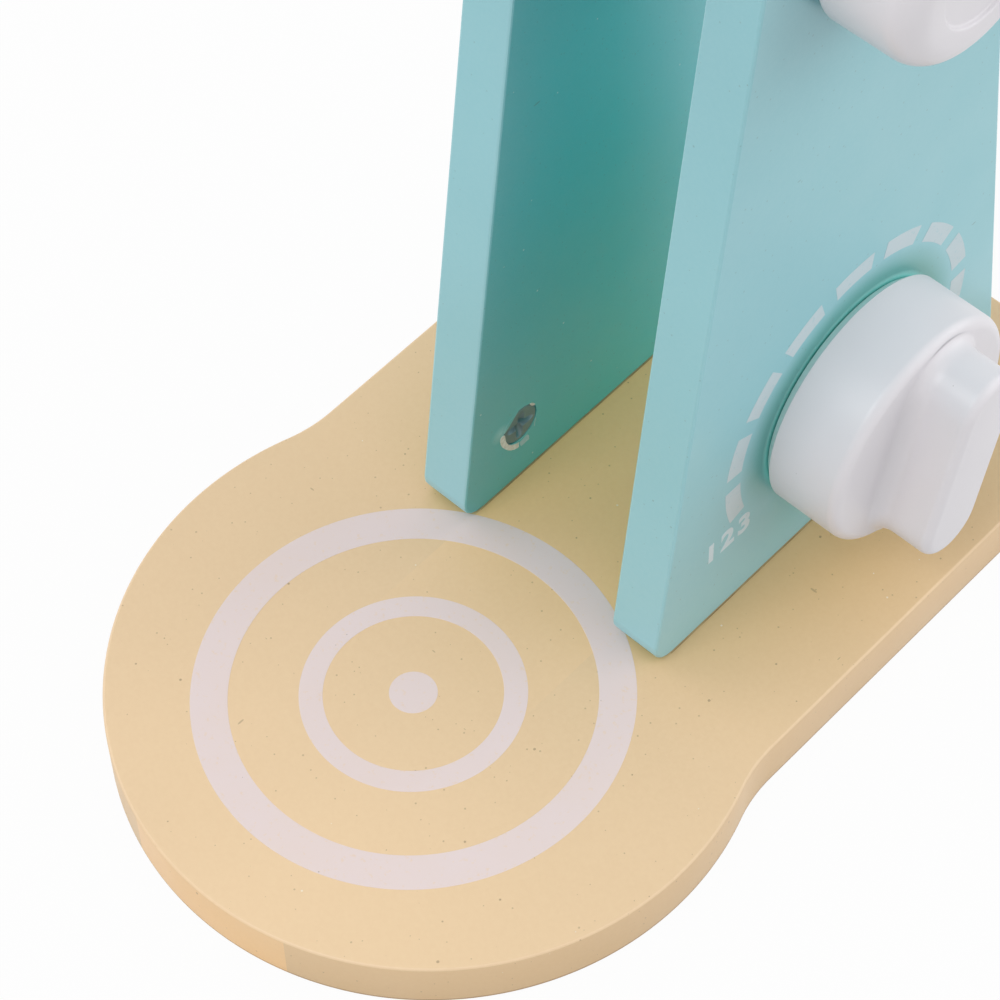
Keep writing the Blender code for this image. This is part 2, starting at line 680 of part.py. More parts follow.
def make_spindle(whisk):
    low = handle_top() - SPINDLE_SOCKET + SEAT_GAP
    high = knob_foot() + SPINDLE_SOCKET - SEAT_GAP
    profile = [(0, low), (SPINDLE_RADIUS, low), (SPINDLE_RADIUS, high), (0, high)]
    spindle = turned("whisk_spindle", profile, bright_steel("whisk_spindle"), whisk, SMALL_SEGMENTS)
    for height in cross_pin_heights():
        bore_through(spindle, (-SPINDLE_RADIUS, 0, height), (1, 0, 0), 2 * SPINDLE_RADIUS,
                     CROSS_PIN_RADIUS + SEAT_GAP, PIN_SEGMENTS)
    return spindle


def cross_pin_heights():
    """Where pins hold the turning knob and the whisk handle on the spindle."""
    return (knob_foot() + SPINDLE_SOCKET / 2, handle_top() - SPINDLE_SOCKET / 2)


def make_cross_pins(whisk):
    lengths = (TURN_KNOB_WAIST_RADIUS, HANDLE_WAIST_RADIUS)
    names = ("turning_knob_pin", "whisk_handle_pin")
    for name, height, reach in zip(names, cross_pin_heights(), lengths):
        half = reach - 2 * CROSS_PIN_RADIUS
        profile = [(0, -half), (CROSS_PIN_RADIUS, -half), (CROSS_PIN_RADIUS, half), (0, half)]
        pin = turned(name, profile, bright_steel(name), whisk, PIN_SEGMENTS)
        along_x(pin, (0, 0, height))


def fluted_ring(radius, height, depth):
    """A ring with shallow flutes round its rim."""
    ring = []
    for index in range(ROUND_SEGMENTS):
        angle = math.tau * index / ROUND_SEGMENTS
        reach = radius - depth * (1 - math.cos(TURN_KNOB_FLUTES * angle)) / 2
        ring.append((reach * math.cos(angle), reach * math.sin(angle), height))
    return ring


def make_turning_knob(whisk):
    """A waisted knob with six finger flutes and a blind socket for the spindle."""
    low = knob_foot()
    high = low + TURN_KNOB_HEIGHT
    socket = SPINDLE_RADIUS + SEAT_GAP
    size = TURN_KNOB_ROUND
    waist_top = low + TURN_KNOB_HEIGHT / 2
    rings = [fluted_ring(socket, low + SPINDLE_SOCKET, 0), fluted_ring(socket, low, 0),
             fluted_ring(TURN_KNOB_WAIST_RADIUS, low, 0),
             fluted_ring(TURN_KNOB_WAIST_RADIUS, waist_top - size, 0)]
    rise = TURN_KNOB_RADIUS - TURN_KNOB_WAIST_RADIUS
    for degrees in ROUND_ANGLES[1:]:
        angle = math.radians(degrees)
        radius = TURN_KNOB_WAIST_RADIUS + rise * (1 - math.cos(angle))
        rings.append(fluted_ring(radius, waist_top - size + size * math.sin(angle), TURN_KNOB_FLUTE_DEPTH))
    for degrees in ROUND_ANGLES:
        angle = math.radians(degrees)
        radius = TURN_KNOB_RADIUS - size + size * math.cos(angle)
        rings.append(fluted_ring(radius, high - size + size * math.sin(angle), TURN_KNOB_FLUTE_DEPTH))
    knob = lofted("turning_knob", rings, white_paint("turning_knob"), whisk)
    bore_through(knob, (-TURN_KNOB_WAIST_RADIUS, 0, cross_pin_heights()[0]), (1, 0, 0),
                 2 * TURN_KNOB_WAIST_RADIUS, CROSS_PIN_RADIUS + SEAT_GAP, PIN_SEGMENTS)
    return knob


def make_whisk_handle(whisk):
    """A turned grip whose lower end is drilled for the wires."""
    top = handle_top()
    low = top - HANDLE_LENGTH
    middle = (top + low) / 2
    socket = SPINDLE_RADIUS + SEAT_GAP
    size = HANDLE_ROUND
    profile = [(0, top - SPINDLE_SOCKET), (socket, top - SPINDLE_SOCKET), (socket, top)]
    profile += rounded_corner(HANDLE_TOP_RADIUS - size, top - size, size, 90, 0)
    profile += waist_curve(HANDLE_TOP_RADIUS, HANDLE_WAIST_RADIUS, top - 2 * size, middle)
    profile += waist_curve(HANDLE_WAIST_RADIUS, HANDLE_END_RADIUS, middle, low + 2 * size)[1:]
    profile += rounded_corner(HANDLE_END_RADIUS - size, low + size, size, 0, -90)
    profile.append((0, low))
    handle = turned("whisk_handle", profile, bare_beech("whisk_handle"), whisk, SMALL_SEGMENTS)
    for index in range(2 * WHISK_LOOPS):
        angle = math.pi * index / WHISK_LOOPS
        spot = (WIRE_CIRCLE_RADIUS * math.cos(angle), WIRE_CIRCLE_RADIUS * math.sin(angle), low)
        bore(handle, spot, (0, 0, 1), WIRE_SOCKET + SEAT_GAP, WIRE_RADIUS + WIRE_HOLE_GAP,
             WIRE_HOLE_SEGMENTS)
    bore_through(handle, (-HANDLE_TOP_RADIUS, 0, cross_pin_heights()[1]), (1, 0, 0), 2 * HANDLE_TOP_RADIUS,
                 CROSS_PIN_RADIUS + SEAT_GAP, PIN_SEGMENTS)
    return handle


def waist_curve(first_radius, last_radius, first_height, last_height):
    """Ease a turned profile from one radius to another."""
    points = []
    for step in range(WAIST_STEPS + 1):
        share = step / WAIST_STEPS
        ease = (1 - math.cos(math.pi * share)) / 2
        points.append((first_radius + (last_radius - first_radius) * ease,
                       first_height + (last_height - first_height) * share))
    return points


def swell(angle):
    """How far a wire bulges off its straight course, as a share of its scale."""
    return math.sin(angle) * abs(math.sin(angle / 2)) ** WHISK_SWELL_POWER


def straight_reach(angle):
    """How far a wire without a bulge stands off the axis."""
    return WIRE_CIRCLE_RADIUS * math.cos(angle / 2)


def loop_points(order):
    """One wire: up one side from the handle, across the tip and back up the other.

    The wires cross on the axis at the tip, one just above the next.
    """
    steps = [math.tau * step / WIRE_STEPS for step in range(WIRE_STEPS + 1)]
    rising = steps[1:WIRE_STEPS // 2]
    scale = min((WHISK_RADIUS - WIRE_RADIUS - straight_reach(angle)) / swell(angle) for angle in rising)
    length = WHISK_LENGTH - order * (2 * WIRE_RADIUS + WIRE_STAGGER_GAP)
    start = handle_top() - HANDLE_LENGTH
    points = [(WIRE_CIRCLE_RADIUS, start + WIRE_SOCKET)]
    for angle in steps:
        off = straight_reach(angle) + scale * swell(angle)
        points.append((off, start - length * (1 - math.cos(angle)) / 2))
    points.append((-WIRE_CIRCLE_RADIUS, start + WIRE_SOCKET))
    return points


def make_whisk_loop(whisk, order):
    """A bent wire as a round tube along its own curve."""
    name = "whisk_loop_" + str(order + 1)
    curve = bpy.data.curves.new(name, "CURVE")
    curve.dimensions = "3D"
    curve.bevel_depth = WIRE_RADIUS
    curve.bevel_resolution = 1
    curve.use_fill_caps = True
    points = loop_points(order)
    spline = curve.splines.new("POLY")
    spline.points.add(len(points) - 1)
    turn = math.pi * order / WHISK_LOOPS
    for target, (off, height) in zip(spline.points, points):
        target.co = (off * math.cos(turn), off * math.sin(turn), height, 1)
    curve.materials.append(bright_steel(name))
    loop = bpy.data.objects.new(name, curve)
    loop.parent = whisk
    bpy.context.collection.objects.link(loop)
    return loop


# Dial

def stadium_reach(angle, half_length, half_width):
    """Distance from the centre of a bar with round ends to its rim, at an angle."""
    across = abs(math.sin(angle))
    along = abs(math.cos(angle))
    straight = half_length - half_width
    if across > 0 and half_width * along / across <= straight:
        return half_width / across
    return straight * along + math.sqrt(half_width ** 2 - (straight * across) ** 2)


def dial_ring(height, half_length, half_width):
    """A ring of the dial; equal half sizes make it round."""
    ring = []
    for index in range(ROUND_SEGMENTS):
        angle = math.tau * index / ROUND_SEGMENTS
        reach = stadium_reach(angle, half_length, half_width)
        ring.append((reach * math.cos(angle), reach * math.sin(angle), height))
    return ring


def make_dial_knob(dial):
    """A round disc that flows through a cove into a bar grip with round ends.

    Its chamfered back is hollowed round the bolt, where the friction washer lies.
    """
    hole = INSERT_RADIUS + SEAT_GAP
    hollow = FRICTION_WASHER_RADIUS + SEAT_GAP
    back = DIAL_RADIUS - DIAL_BACK_CHAMFER
    rings = [
        dial_ring(DIAL_SEAT + INSERT_LENGTH + 2 * SEAT_GAP, hole, hole),
        dial_ring(DIAL_SEAT, hole, hole),
        dial_ring(DIAL_SEAT, hollow, hollow),
        dial_ring(DIAL_BACK_GAP, hollow, hollow),
        dial_ring(DIAL_BACK_GAP, back, back),
        dial_ring(DIAL_BACK_GAP + DIAL_BACK_CHAMFER, DIAL_RADIUS, DIAL_RADIUS),
    ]
    face = DIAL_FACE_ROUND
    for degrees in ROUND_ANGLES:
        angle = math.radians(degrees)
        radius = DIAL_RADIUS - face * (1 - math.cos(angle))
        rings.append(dial_ring(DIAL_FACE_HEIGHT - face * (1 - math.sin(angle)), radius, radius))
    for degrees in COVE_ANGLES:
        angle = math.radians(degrees)
        spread = 1 - math.sin(angle)
        rise = GRIP_SIDE_COVE * (1 - math.cos(angle))
        rings.append(dial_ring(DIAL_FACE_HEIGHT + rise, GRIP_HALF_LENGTH + GRIP_END_COVE * spread,
                               GRIP_HALF_WIDTH + GRIP_SIDE_COVE * spread))
    top = DIAL_FACE_HEIGHT + GRIP_HEIGHT
    for degrees in ROUND_ANGLES:
        angle = math.radians(degrees)
        inset = GRIP_TOP_ROUND * (1 - math.cos(angle))
        rings.append(dial_ring(top - GRIP_TOP_ROUND * (1 - math.sin(angle)), GRIP_HALF_LENGTH - inset,
                               GRIP_HALF_WIDTH - inset))
    knob = lofted("dial_knob", rings, white_paint("dial_knob"), dial)
    along_x(knob, (0, 0, 0))
    return knob


def make_dial_insert(dial):
    """A brass sleeve in the back of the dial that takes the bolt."""
    profile = washer_profile(DIAL_BOLT_RADIUS + SEAT_GAP, INSERT_RADIUS, INSERT_LENGTH)
    insert = turned("dial_insert", profile, brass("dial_insert"), dial, WASHER_SEGMENTS)
    along_x(insert, (DIAL_SEAT + SEAT_GAP, 0, 0))
    return insert


def make_dial_bolt(dial):
    """A bolt from inside the column, through the panel, into the dial."""
    head_face = -(PANEL_THICKNESS + PLAIN_WASHER_THICKNESS + 2 * SEAT_GAP)
    head_back = head_face - DIAL_BOLT_HEAD_LENGTH
    tip = DIAL_SEAT + DIAL_BOLT_ENGAGEMENT
    crown = (DIAL_BOLT_HEAD_RADIUS, head_face - DIAL_BOLT_HEAD_LENGTH / 3)
    profile = [(0, head_back), (DIAL_BOLT_HEAD_RADIUS / 2, head_back), crown,
               (DIAL_BOLT_HEAD_RADIUS, head_face), (DIAL_BOLT_RADIUS, head_face),
               (DIAL_BOLT_RADIUS, tip), (0, tip)]
    bolt = turned("dial_bolt", profile, bright_steel("dial_bolt"), dial, SMALL_SEGMENTS)
    along_x(bolt, (0, 0, 0))
    return bolt


def make_dial_washers():
    """A thin friction washer behind the dial and a plain one under the bolt's head."""
    hole = DIAL_BOLT_RADIUS + SEAT_GAP
    friction = turned("dial_friction_washer",
                      washer_profile(hole, FRICTION_WASHER_RADIUS, FRICTION_WASHER_THICKNESS),
                      grey_felt("dial_friction_washer"), segments=WASHER_SEGMENTS)
    along_x(friction, (PANEL_OUTER_X + SEAT_GAP, DIAL_Y, DIAL_Z))
    plain = turned("dial_plain_washer", washer_profile(hole, PLAIN_WASHER_RADIUS, PLAIN_WASHER_THICKNESS),
                   bright_steel("dial_plain_washer"), segments=WASHER_SEGMENTS)
    along_x(plain, (PANEL_INNER_X - SEAT_GAP, DIAL_Y, DIAL_Z), -1)


def build_column():
    make_base_board()
    for word, side in SIDES:
        make_side_panel(word, side)
    make_stop_rail()
    make_rail_dowels()
    make_foot_dowels()
    make_cam_fittings()
    make_pivot_washers()
    make_dial_washers()


def build_head():
    head = empty("head_axis", (0, PIVOT_Y, PIVOT_Z), turn_x=-math.radians(HEAD_RAISE_DEGREES))
    make_head_block(head)
    make_pivot_dowel(head)
    for word, side in SIDES:
        make_pivot_knob(head, word, side)
    make_lock_screw(head)
    make_bush("upper_bush", head, HEAD_TOP, True)
    make_bush("lower_bush", head, -HEAD_HEEL, False)
    return head


def build_whisk(head):
    whisk = empty("whisk_axis", (0, -WHISK_REACH, 0), head)
    make_spindle(whisk)
    make_turning_knob(whisk)
    make_whisk_handle(whisk)
    make_cross_pins(whisk)
    for order in range(WHISK_LOOPS):
        make_whisk_loop(whisk, order)


def build_dial():
    dial = empty("dial_axis", (PANEL_OUTER_X, DIAL_Y, DIAL_Z), turn_x=math.radians(DIAL_REST_TURN_DEGREES))
    make_dial_knob(dial)
    make_dial_insert(dial)
    make_dial_bolt(dial)


def main():
    clear_scene()
    build_column()
    head = build_head()
    build_whisk(head)
    build_dial()


main()
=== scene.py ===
"""Dressed scene of the toy stand mixer: painted board, turned knobs and a wire whisk."""

import logging
import math
from dataclasses import dataclass
from enum import Enum
from functools import cached_property, reduce
from typing import Callable, Iterable, Optional, Protocol, Sequence

import bmesh
import bpy
from mathutils import Matrix, Vector


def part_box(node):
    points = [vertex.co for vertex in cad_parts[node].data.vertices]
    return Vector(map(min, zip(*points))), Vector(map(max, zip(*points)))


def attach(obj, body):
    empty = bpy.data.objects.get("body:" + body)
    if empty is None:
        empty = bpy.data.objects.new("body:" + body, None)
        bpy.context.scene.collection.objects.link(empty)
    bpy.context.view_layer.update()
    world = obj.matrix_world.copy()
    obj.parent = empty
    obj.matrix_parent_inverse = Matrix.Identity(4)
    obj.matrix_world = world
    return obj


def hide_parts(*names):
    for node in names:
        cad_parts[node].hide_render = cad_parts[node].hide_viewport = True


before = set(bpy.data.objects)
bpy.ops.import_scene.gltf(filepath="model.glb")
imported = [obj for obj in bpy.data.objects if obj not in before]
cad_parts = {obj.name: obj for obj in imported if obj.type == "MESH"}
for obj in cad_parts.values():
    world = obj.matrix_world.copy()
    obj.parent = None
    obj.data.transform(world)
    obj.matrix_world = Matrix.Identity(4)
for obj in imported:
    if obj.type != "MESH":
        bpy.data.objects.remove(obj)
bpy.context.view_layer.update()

Pair = tuple[float, float]
Point = tuple[float, float, float]
Colour = tuple[float, float, float]
Form = bmesh.types.BMesh
Material = bpy.types.Material
Socket = bpy.types.NodeSocket

log = logging.getLogger("mixer")


class Axis(Enum):
    """A direction of the row frame, by the index of its coordinate."""

    X = 0
    Y = 1
    Z = 2


class Side(Enum):
    """A side of the mixer, by its direction along X."""

    LEFT = -1
    RIGHT = 1


class Body(Enum):
    """The rigid bodies that pieces ride on."""

    COLUMN = "column"
    HEAD = "head"
    WHISK = "whisk"
    DIAL = "dial"


# Node trees

class Graph:
    """Lays out the nodes of one material and holds what its layers have come to so far."""

    def __init__(self, name: str) -> None:
        """Open a new material with an empty node tree.

        Args:
            name: Name of the material.
        """
        self.material = bpy.data.materials.new(name)
        self.material.use_nodes = True
        self.tree = self.material.node_tree
        self.tree.nodes.clear()
        self.output = self.add("ShaderNodeOutputMaterial")
        self.shader = self.add("ShaderNodeBsdfPrincipled")
        self.feed(self.output.inputs["Surface"], self.shader.outputs[0])
        self.place = self.add("ShaderNodeTexCoord").outputs["Object"]
        self.colour: object = (0.0, 0.0, 0.0)
        self.relief: Optional[Socket] = None
        self.shelter: Optional[Socket] = None

    def add(self, kind: str) -> bpy.types.Node:
        """Make a node of a kind."""
        return self.tree.nodes.new(kind)

    def feed(self, socket: Socket, value: object) -> None:
        """Link another socket to an input, or set it to a number, a place or a colour.

        Args:
            socket: The input that is fed.
            value: What it is fed with.
        """
        if isinstance(value, Socket):
            self.tree.links.new(value, socket)
        else:
            socket.default_value = (*value, 1.0) if socket.type == "RGBA" else value

    def maths(self, operation: str, *values: object) -> Socket:
        """Work out a number from one to three others.

        Args:
            operation: Name of the sum.
            values: The numbers or sockets.

        Returns:
            The socket with the result.
        """
        node = self.add("ShaderNodeMath")
        node.operation = operation
        for socket, value in zip(node.inputs, values):
            self.feed(socket, value)
        return node.outputs[0]

    def times(self, *factors: object) -> Socket:
        """Multiply numbers; masks multiplied leave what lies in all of them."""
        return reduce(lambda product, factor: self.maths("MULTIPLY", product, factor), factors)

    def below(self, value: object, limit: float) -> Socket:
        """Give 1 where a value is under the limit and 0 elsewhere."""
        return self.maths("LESS_THAN", value, limit)

    def above(self, value: object, limit: float) -> Socket:
        """Give 1 where a value is over the limit and 0 elsewhere."""
        return self.maths("GREATER_THAN", value, limit)

    def off(self, value: object, centre: float) -> Socket:
        """Give how far a value is from a centre, without its sign."""
        return self.maths("ABSOLUTE", self.maths("SUBTRACT", value, centre))

    @cached_property
    def parts(self) -> Sequence[Socket]:
        """Split the place on the object.

        Returns:
            Its coordinates across, along and up.
        """
        node = self.add("ShaderNodeSeparateXYZ")
        self.feed(node.inputs[0], self.place)
        return list(node.outputs)

    def far_from(self, along: float, up: float) -> Socket:
        """Measure how far a place on a side face lies from a spot.

        Args:
            along: Where the spot is along Y.
            up: Height of the spot.

        Returns:
            The distance.
        """
        squares = [self.maths("POWER", self.maths("SUBTRACT", part, centre), 2.0)
                   for part, centre in zip(self.parts[1:], (along, up))]
        return self.maths("SQRT", self.maths("ADD", *squares))

    def stretched(self, scale: Point) -> Socket:
        """Scale the place on the object by a factor along each axis.

        Args:
            scale: The three factors.

        Returns:
            The scaled place.
        """
        node = self.add("ShaderNodeMapping")
        self.feed(node.inputs["Vector"], self.place)
        node.inputs["Scale"].default_value = scale
        return node.outputs[0]

    def noise(self, scale: float, detail: float = 2.0, place: Optional[Socket] = None,
              distortion: float = 0.0) -> Socket:
        """Lay a cloudy pattern over the object.

        Args:
            scale: Clouds per metre.
            detail: How many finer layers it has.
            place: Place to read it at, or the place on the object.
            distortion: How far the clouds are pulled about.

        Returns:
            The pattern's value, about one half in the middle.
        """
        node = self.add("ShaderNodeTexNoise")
        self.feed(node.inputs["Vector"], place or self.place)
        for label, value in (("Scale", scale), ("Detail", detail), ("Distortion", distortion)):
            node.inputs[label].default_value = value
        return node.outputs["Fac"]

    def grained(self, axis: Axis, along: float, across: float, detail: float,
                distortion: float = 0.0) -> Socket:
        """Lay a cloudy pattern that is drawn out or packed along one axis.

        Args:
            axis: The axis.
            along: Clouds per metre along it.
            across: Clouds per metre across it.
            detail: How many finer layers it has.
            distortion: How far the clouds are pulled about.

        Returns:
            The pattern's value.
        """
        scale = [across] * 3
        scale[axis.value] = along
        return self.noise(1.0, detail, self.stretched(tuple(scale)), distortion)

    def between(self, value: object, low: float, high: float, start: float = 0.0,
                end: float = 1.0) -> Socket:
        """Map a stretch of values to another one, without going past its ends.

        Args:
            value: The number or socket that is read.
            low: Value at which the result is the start.
            high: Value at which the result is the end.
            start: Result at the low end.
            end: Result at the high end.

        Returns:
            The mapped value.
        """
        node = self.add("ShaderNodeMapRange")
        for label, number in (("Value", value), ("From Min", low), ("From Max", high),
                              ("To Min", start), ("To Max", end)):
            self.feed(node.inputs[label], number)
        return node.outputs[0]

    def cloud(self, scale: float, detail: float, *ends: float) -> Socket:
        """Lay a cloudy pattern and map its values between the ends, as between() takes them."""
        return self.between(self.noise(scale, detail), *ends)

    def blend(self, share: object, first: object, second: object, kind: str = "MIX") -> Socket:
        """Blend two colours.

        Args:
            share: Share of the second colour.
            first: First colour or socket.
            second: Second colour or socket.
            kind: Name of the way of blending.

        Returns:
            The blended colour.
        """
        node = self.add("ShaderNodeMix")
        node.data_type = "RGBA"
        node.blend_type = kind
        for index, value in ((0, share), (6, first), (7, second)):
            self.feed(node.inputs[index], value)
        return node.outputs[2]

    def lay(self, share: object, colour: object, kind: str = "MIX") -> None:
        """Lay a share of a colour over the layers so far."""
        self.colour = self.blend(share, self.colour, colour, kind)

    def tint(self, share: object, colour: object) -> None:
        """Multiply the layers so far by a share of a colour."""
        self.lay(share, colour, "MULTIPLY")

    def speckle(self, scale: float, size: float, spread: float, share: float, colour: Colour,
                place: Optional[Socket] = None) -> Socket:
        """Scatter small round spots of unequal size over the layers so far.

        Args:
            scale: Spots per metre along an edge.
            size: Radius of the largest spot in metres.
            spread: How much rarer large spots are than small ones.
            share: How strongly they show.
            colour: Their colour.
            place: Place to read them at, or the place on the object.

        Returns:
            1 in a spot and 0 elsewhere.
        """
        node = self.add("ShaderNodeTexVoronoi")
        self.feed(node.inputs["Vector"], place or self.place)
        node.inputs["Scale"].default_value = scale
        chance = self.add("ShaderNodeSeparateColor")
        self.feed(chance.inputs[0], node.outputs["Color"])
        reach = self.times(self.maths("POWER", chance.outputs[0], spread), size * scale)
        mask = self.below(node.outputs["Distance"], reach)
        self.lay(self.times(mask, share), colour)
        return mask

    def sheltered(self, reach: float) -> Socket:
        """Find where other surfaces stand close.

        Args:
            reach: How far they are looked for.

        Returns:
            0 in the open, rising towards 1 in a corner.
        """
        node = self.add("ShaderNodeAmbientOcclusion")
        node.samples = 8
        node.inputs["Distance"].default_value = reach
        return self.maths("SUBTRACT", 1.0, node.outputs["AO"])

    def bevelled(self, radius: float) -> Socket:
        """Find the edges of the object.

        Args:
            radius: How far from an edge it is still counted.

        Returns:
            0 on flat faces, rising towards the edges.
        """
        bevel = self.add("ShaderNodeBevel")
        bevel.samples = 4
        bevel.inputs["Radius"].default_value = radius
        dot = self.add("ShaderNodeVectorMath")
        dot.operation = "DOT_PRODUCT"
        self.feed(dot.inputs[0], bevel.outputs[0])
        self.feed(dot.inputs[1], self.add("ShaderNodeNewGeometry").outputs["Normal"])
        return self.between(dot.outputs["Value"], 0.995, 0.90)

    def raise_by(self, height: Socket, metres: float) -> None:
        """Add a relief to the surface.

        Args:
            height: The relief's pattern.
            metres: How high a value of 1 stands.
        """
        scaled = self.times(height, metres)
        self.relief = self.maths("ADD", self.relief, scaled) if self.relief else scaled

    def finish(self, roughness: object, **constants: float) -> Material:
        """Join colour, roughness and relief to the shader.

        Args:
            roughness: Number or socket.
            constants: Values of other sockets, with underscores for spaces.

        Returns:
            The finished material.
        """
        self.feed(self.shader.inputs["Base Color"], self.colour)
        self.feed(self.shader.inputs["Roughness"], roughness)
        for label, value in constants.items():
            self.shader.inputs[label.replace("_", " ")].default_value = value
        if self.relief:
            bump = self.add("ShaderNodeBump")
            bump.inputs["Distance"].default_value = 1.0
            self.feed(bump.inputs["Height"], self.relief)
            self.feed(self.shader.inputs["Normal"], bump.outputs[0])
        return self.material


# Layers of paint, painted light and painted shade

class Layer(Protocol):
    """Something that changes the colour or relief of a paint in places."""

    def lay(self, graph: Graph) -> None:
        """Lay it over what the graph holds so far."""


@dataclass(frozen=True)
class SwellHighlight:
    """Where the paint on an inner face is pushed up beside a drilled hole, with a painted highlight on the
    swell.
    """

    along: float
    up: float
    inner_x: float
    radius: float = 0.0032
    height: float = 0.00022
    share: float = 0.42
    # Colour of the painted highlight on the swell.
    pale: Colour = (0.60, 0.80, 0.79)

    def lay(self, graph: Graph) -> None:
        """Push the paint up and paint a highlight on the swell.

        Args:
            graph: The paint's node tree.
        """
        inner = graph.below(graph.off(graph.parts[0], 0.0), self.inner_x)
        swell = graph.times(inner, graph.between(graph.far_from(self.along, self.up), self.radius, 0.0))
        graph.raise_by(swell, self.height)
        # Painted highlight on the swell.
        graph.lay(graph.times(swell, self.share), self.pale)


@dataclass(frozen=True)
class Seam:
    """The line of glue and dust where two upright boards stand on a flat one."""

    middle_x: float
    half_thickness: float
    front: float
    rear: float
    width: float = 0.00011
    colour: Colour = (0.22, 0.115, 0.045)

    def lay(self, graph: Graph) -> None:
        """Draw the seam round the feet of both boards, thicker in some places than in others.

        Args:
            graph: The paint's node tree.
        """
        across, along, _ = graph.parts
        off_middle = graph.off(graph.off(across, 0.0), self.middle_x)
        line = graph.below(graph.off(off_middle, self.half_thickness), self.width)
        inside = graph.times(line, graph.above(along, self.front), graph.below(along, self.rear))
        graph.lay(graph.times(inside, graph.cloud(90.0, 3.0, 0.35, 0.6, 0.35, 0.85)), self.colour)


@dataclass(frozen=True)
class KnobShading:
    """Painted light under a knob on the outer face and a painted shadow round it: lighter below it, deep beside
    it.

    The knob sheds its shade forward and up, so the painted shadow fades out below low_edge.
    """

    along: float
    up: float
    outer_x: float
    under: float = 0.0290
    rim: float = 0.0303
    hold: float = 0.0316
    fade: float = 0.0376
    # Tint of the painted light under the knob.
    bright: Colour = (1.50, 1.30, 1.15)
    # Tint of the painted shadow beside the knob.
    deep: Colour = (0.52, 0.72, 0.63)
    low_edge: Pair = (-0.019, -0.004)

    def lay(self, graph: Graph) -> None:
        """Paint a shadow in the ring round the knob and paint light on what lies under it.

        Args:
            graph: The paint's node tree.
        """
        across, _, up = graph.parts
        off = graph.far_from(self.along, self.up)
        under = graph.between(off, self.rim, self.under)
        low, high = self.low_edge
        beside = graph.times(graph.between(off, self.fade, self.hold),
                             graph.between(up, self.up + low, self.up + high))
        share = graph.times(graph.above(across, self.outer_x), graph.maths("MAXIMUM", under, beside))
        graph.tint(share, graph.blend(under, self.deep, self.bright))


@dataclass(frozen=True)
class GapShading:
    """A painted tint on what looks into the gap: painted shade on the mint, less so near the foot and towards
    the open rear, and painted light on the base.
    """

    half: float
    depth: Pair = (0.28, 0.62)
    # Tints of the painted shade at the top, at the foot and towards the rear.
    top: Colour = (0.24, 0.98, 0.93)
    foot: Colour = (0.56, 0.98, 0.90)
    rear: Colour = (0.84, 1.03, 1.01)
    foot_rise: Pair = (0.115, 0.050)
    rear_start: Pair = (0.095, 0.122)
    # Painted light from the open rear: a grey ramp from darker at the front to lighter at the rear.
    paling: tuple[float, float, float, float] = (0.050, 0.130, 0.81, 1.17)
    # Height and tint of a painted highlight along the foot of the inner faces.
    lip: float = 0.0158
    lip_tint: Colour = (1.55, 1.25, 1.22)

    def lay(self, graph: Graph) -> None:
        """Paint shade on the inner faces, lighter towards the rear; a thin painted highlight at their foot
        stands for the light of the base.

        Args:
            graph: The paint's node tree, with its shelter found.
        """
        across, along, up = graph.parts
        inside = graph.below(graph.off(across, 0.0), self.half)
        tint = graph.blend(graph.between(up, *self.foot_rise), self.top, self.foot)
        tint = graph.blend(graph.between(along, *self.rear_start), tint, self.rear)
        grey = graph.add("ShaderNodeCombineColor")
        for socket in grey.inputs:
            graph.feed(socket, graph.between(along, *self.paling))
        tint = graph.blend(1.0, tint, grey.outputs[0], "MULTIPLY")
        tint = graph.blend(graph.below(up, self.lip), tint, self.lip_tint, "MULTIPLY")
        graph.tint(graph.times(inside, graph.between(graph.shelter, *self.depth)), tint)


@dataclass(frozen=True)
class PaleFoot:
    """The light that the base throws back on the foot of an upright board."""

    tint: Colour = (1.15, 1.09, 1.12)
    reach: Pair = (0.080, 0.022)

    def lay(self, graph: Graph) -> None:
        """Make the paint paler towards the foot."""
        graph.tint(graph.between(graph.parts[2], *self.reach), self.tint)


@dataclass(frozen=True)
class WallShading:
    """Painted light and shade on the edge of a flat board: a tint on its wall, a painted shadow along the line
    it stands on and a painted highlight on its upper rim.
    """

    top: float
    # Tint of painted light that makes the wall a little lighter.
    tint: Colour = (1.05, 1.04, 1.06)
    foot: float = 0.0012
    # Painted shadow along the line the board stands on.
    foot_tint: Colour = (0.68, 0.62, 0.56)
    rim: float = 0.0005
    # Painted highlight on the upper rim.
    rim_tint: Colour = (1.06, 1.07, 1.12)

    def lay(self, graph: Graph) -> None:
        """Paint light and shade at the three heights.

        Args:
            graph: The paint's node tree.
        """
        up = graph.parts[2]
        graph.tint(graph.below(up, self.top), self.tint)
        graph.tint(graph.below(up, self.foot), self.foot_tint)
        graph.tint(graph.maths("COMPARE", up, self.top + self.rim, self.rim / 2), self.rim_tint)


# Finishes

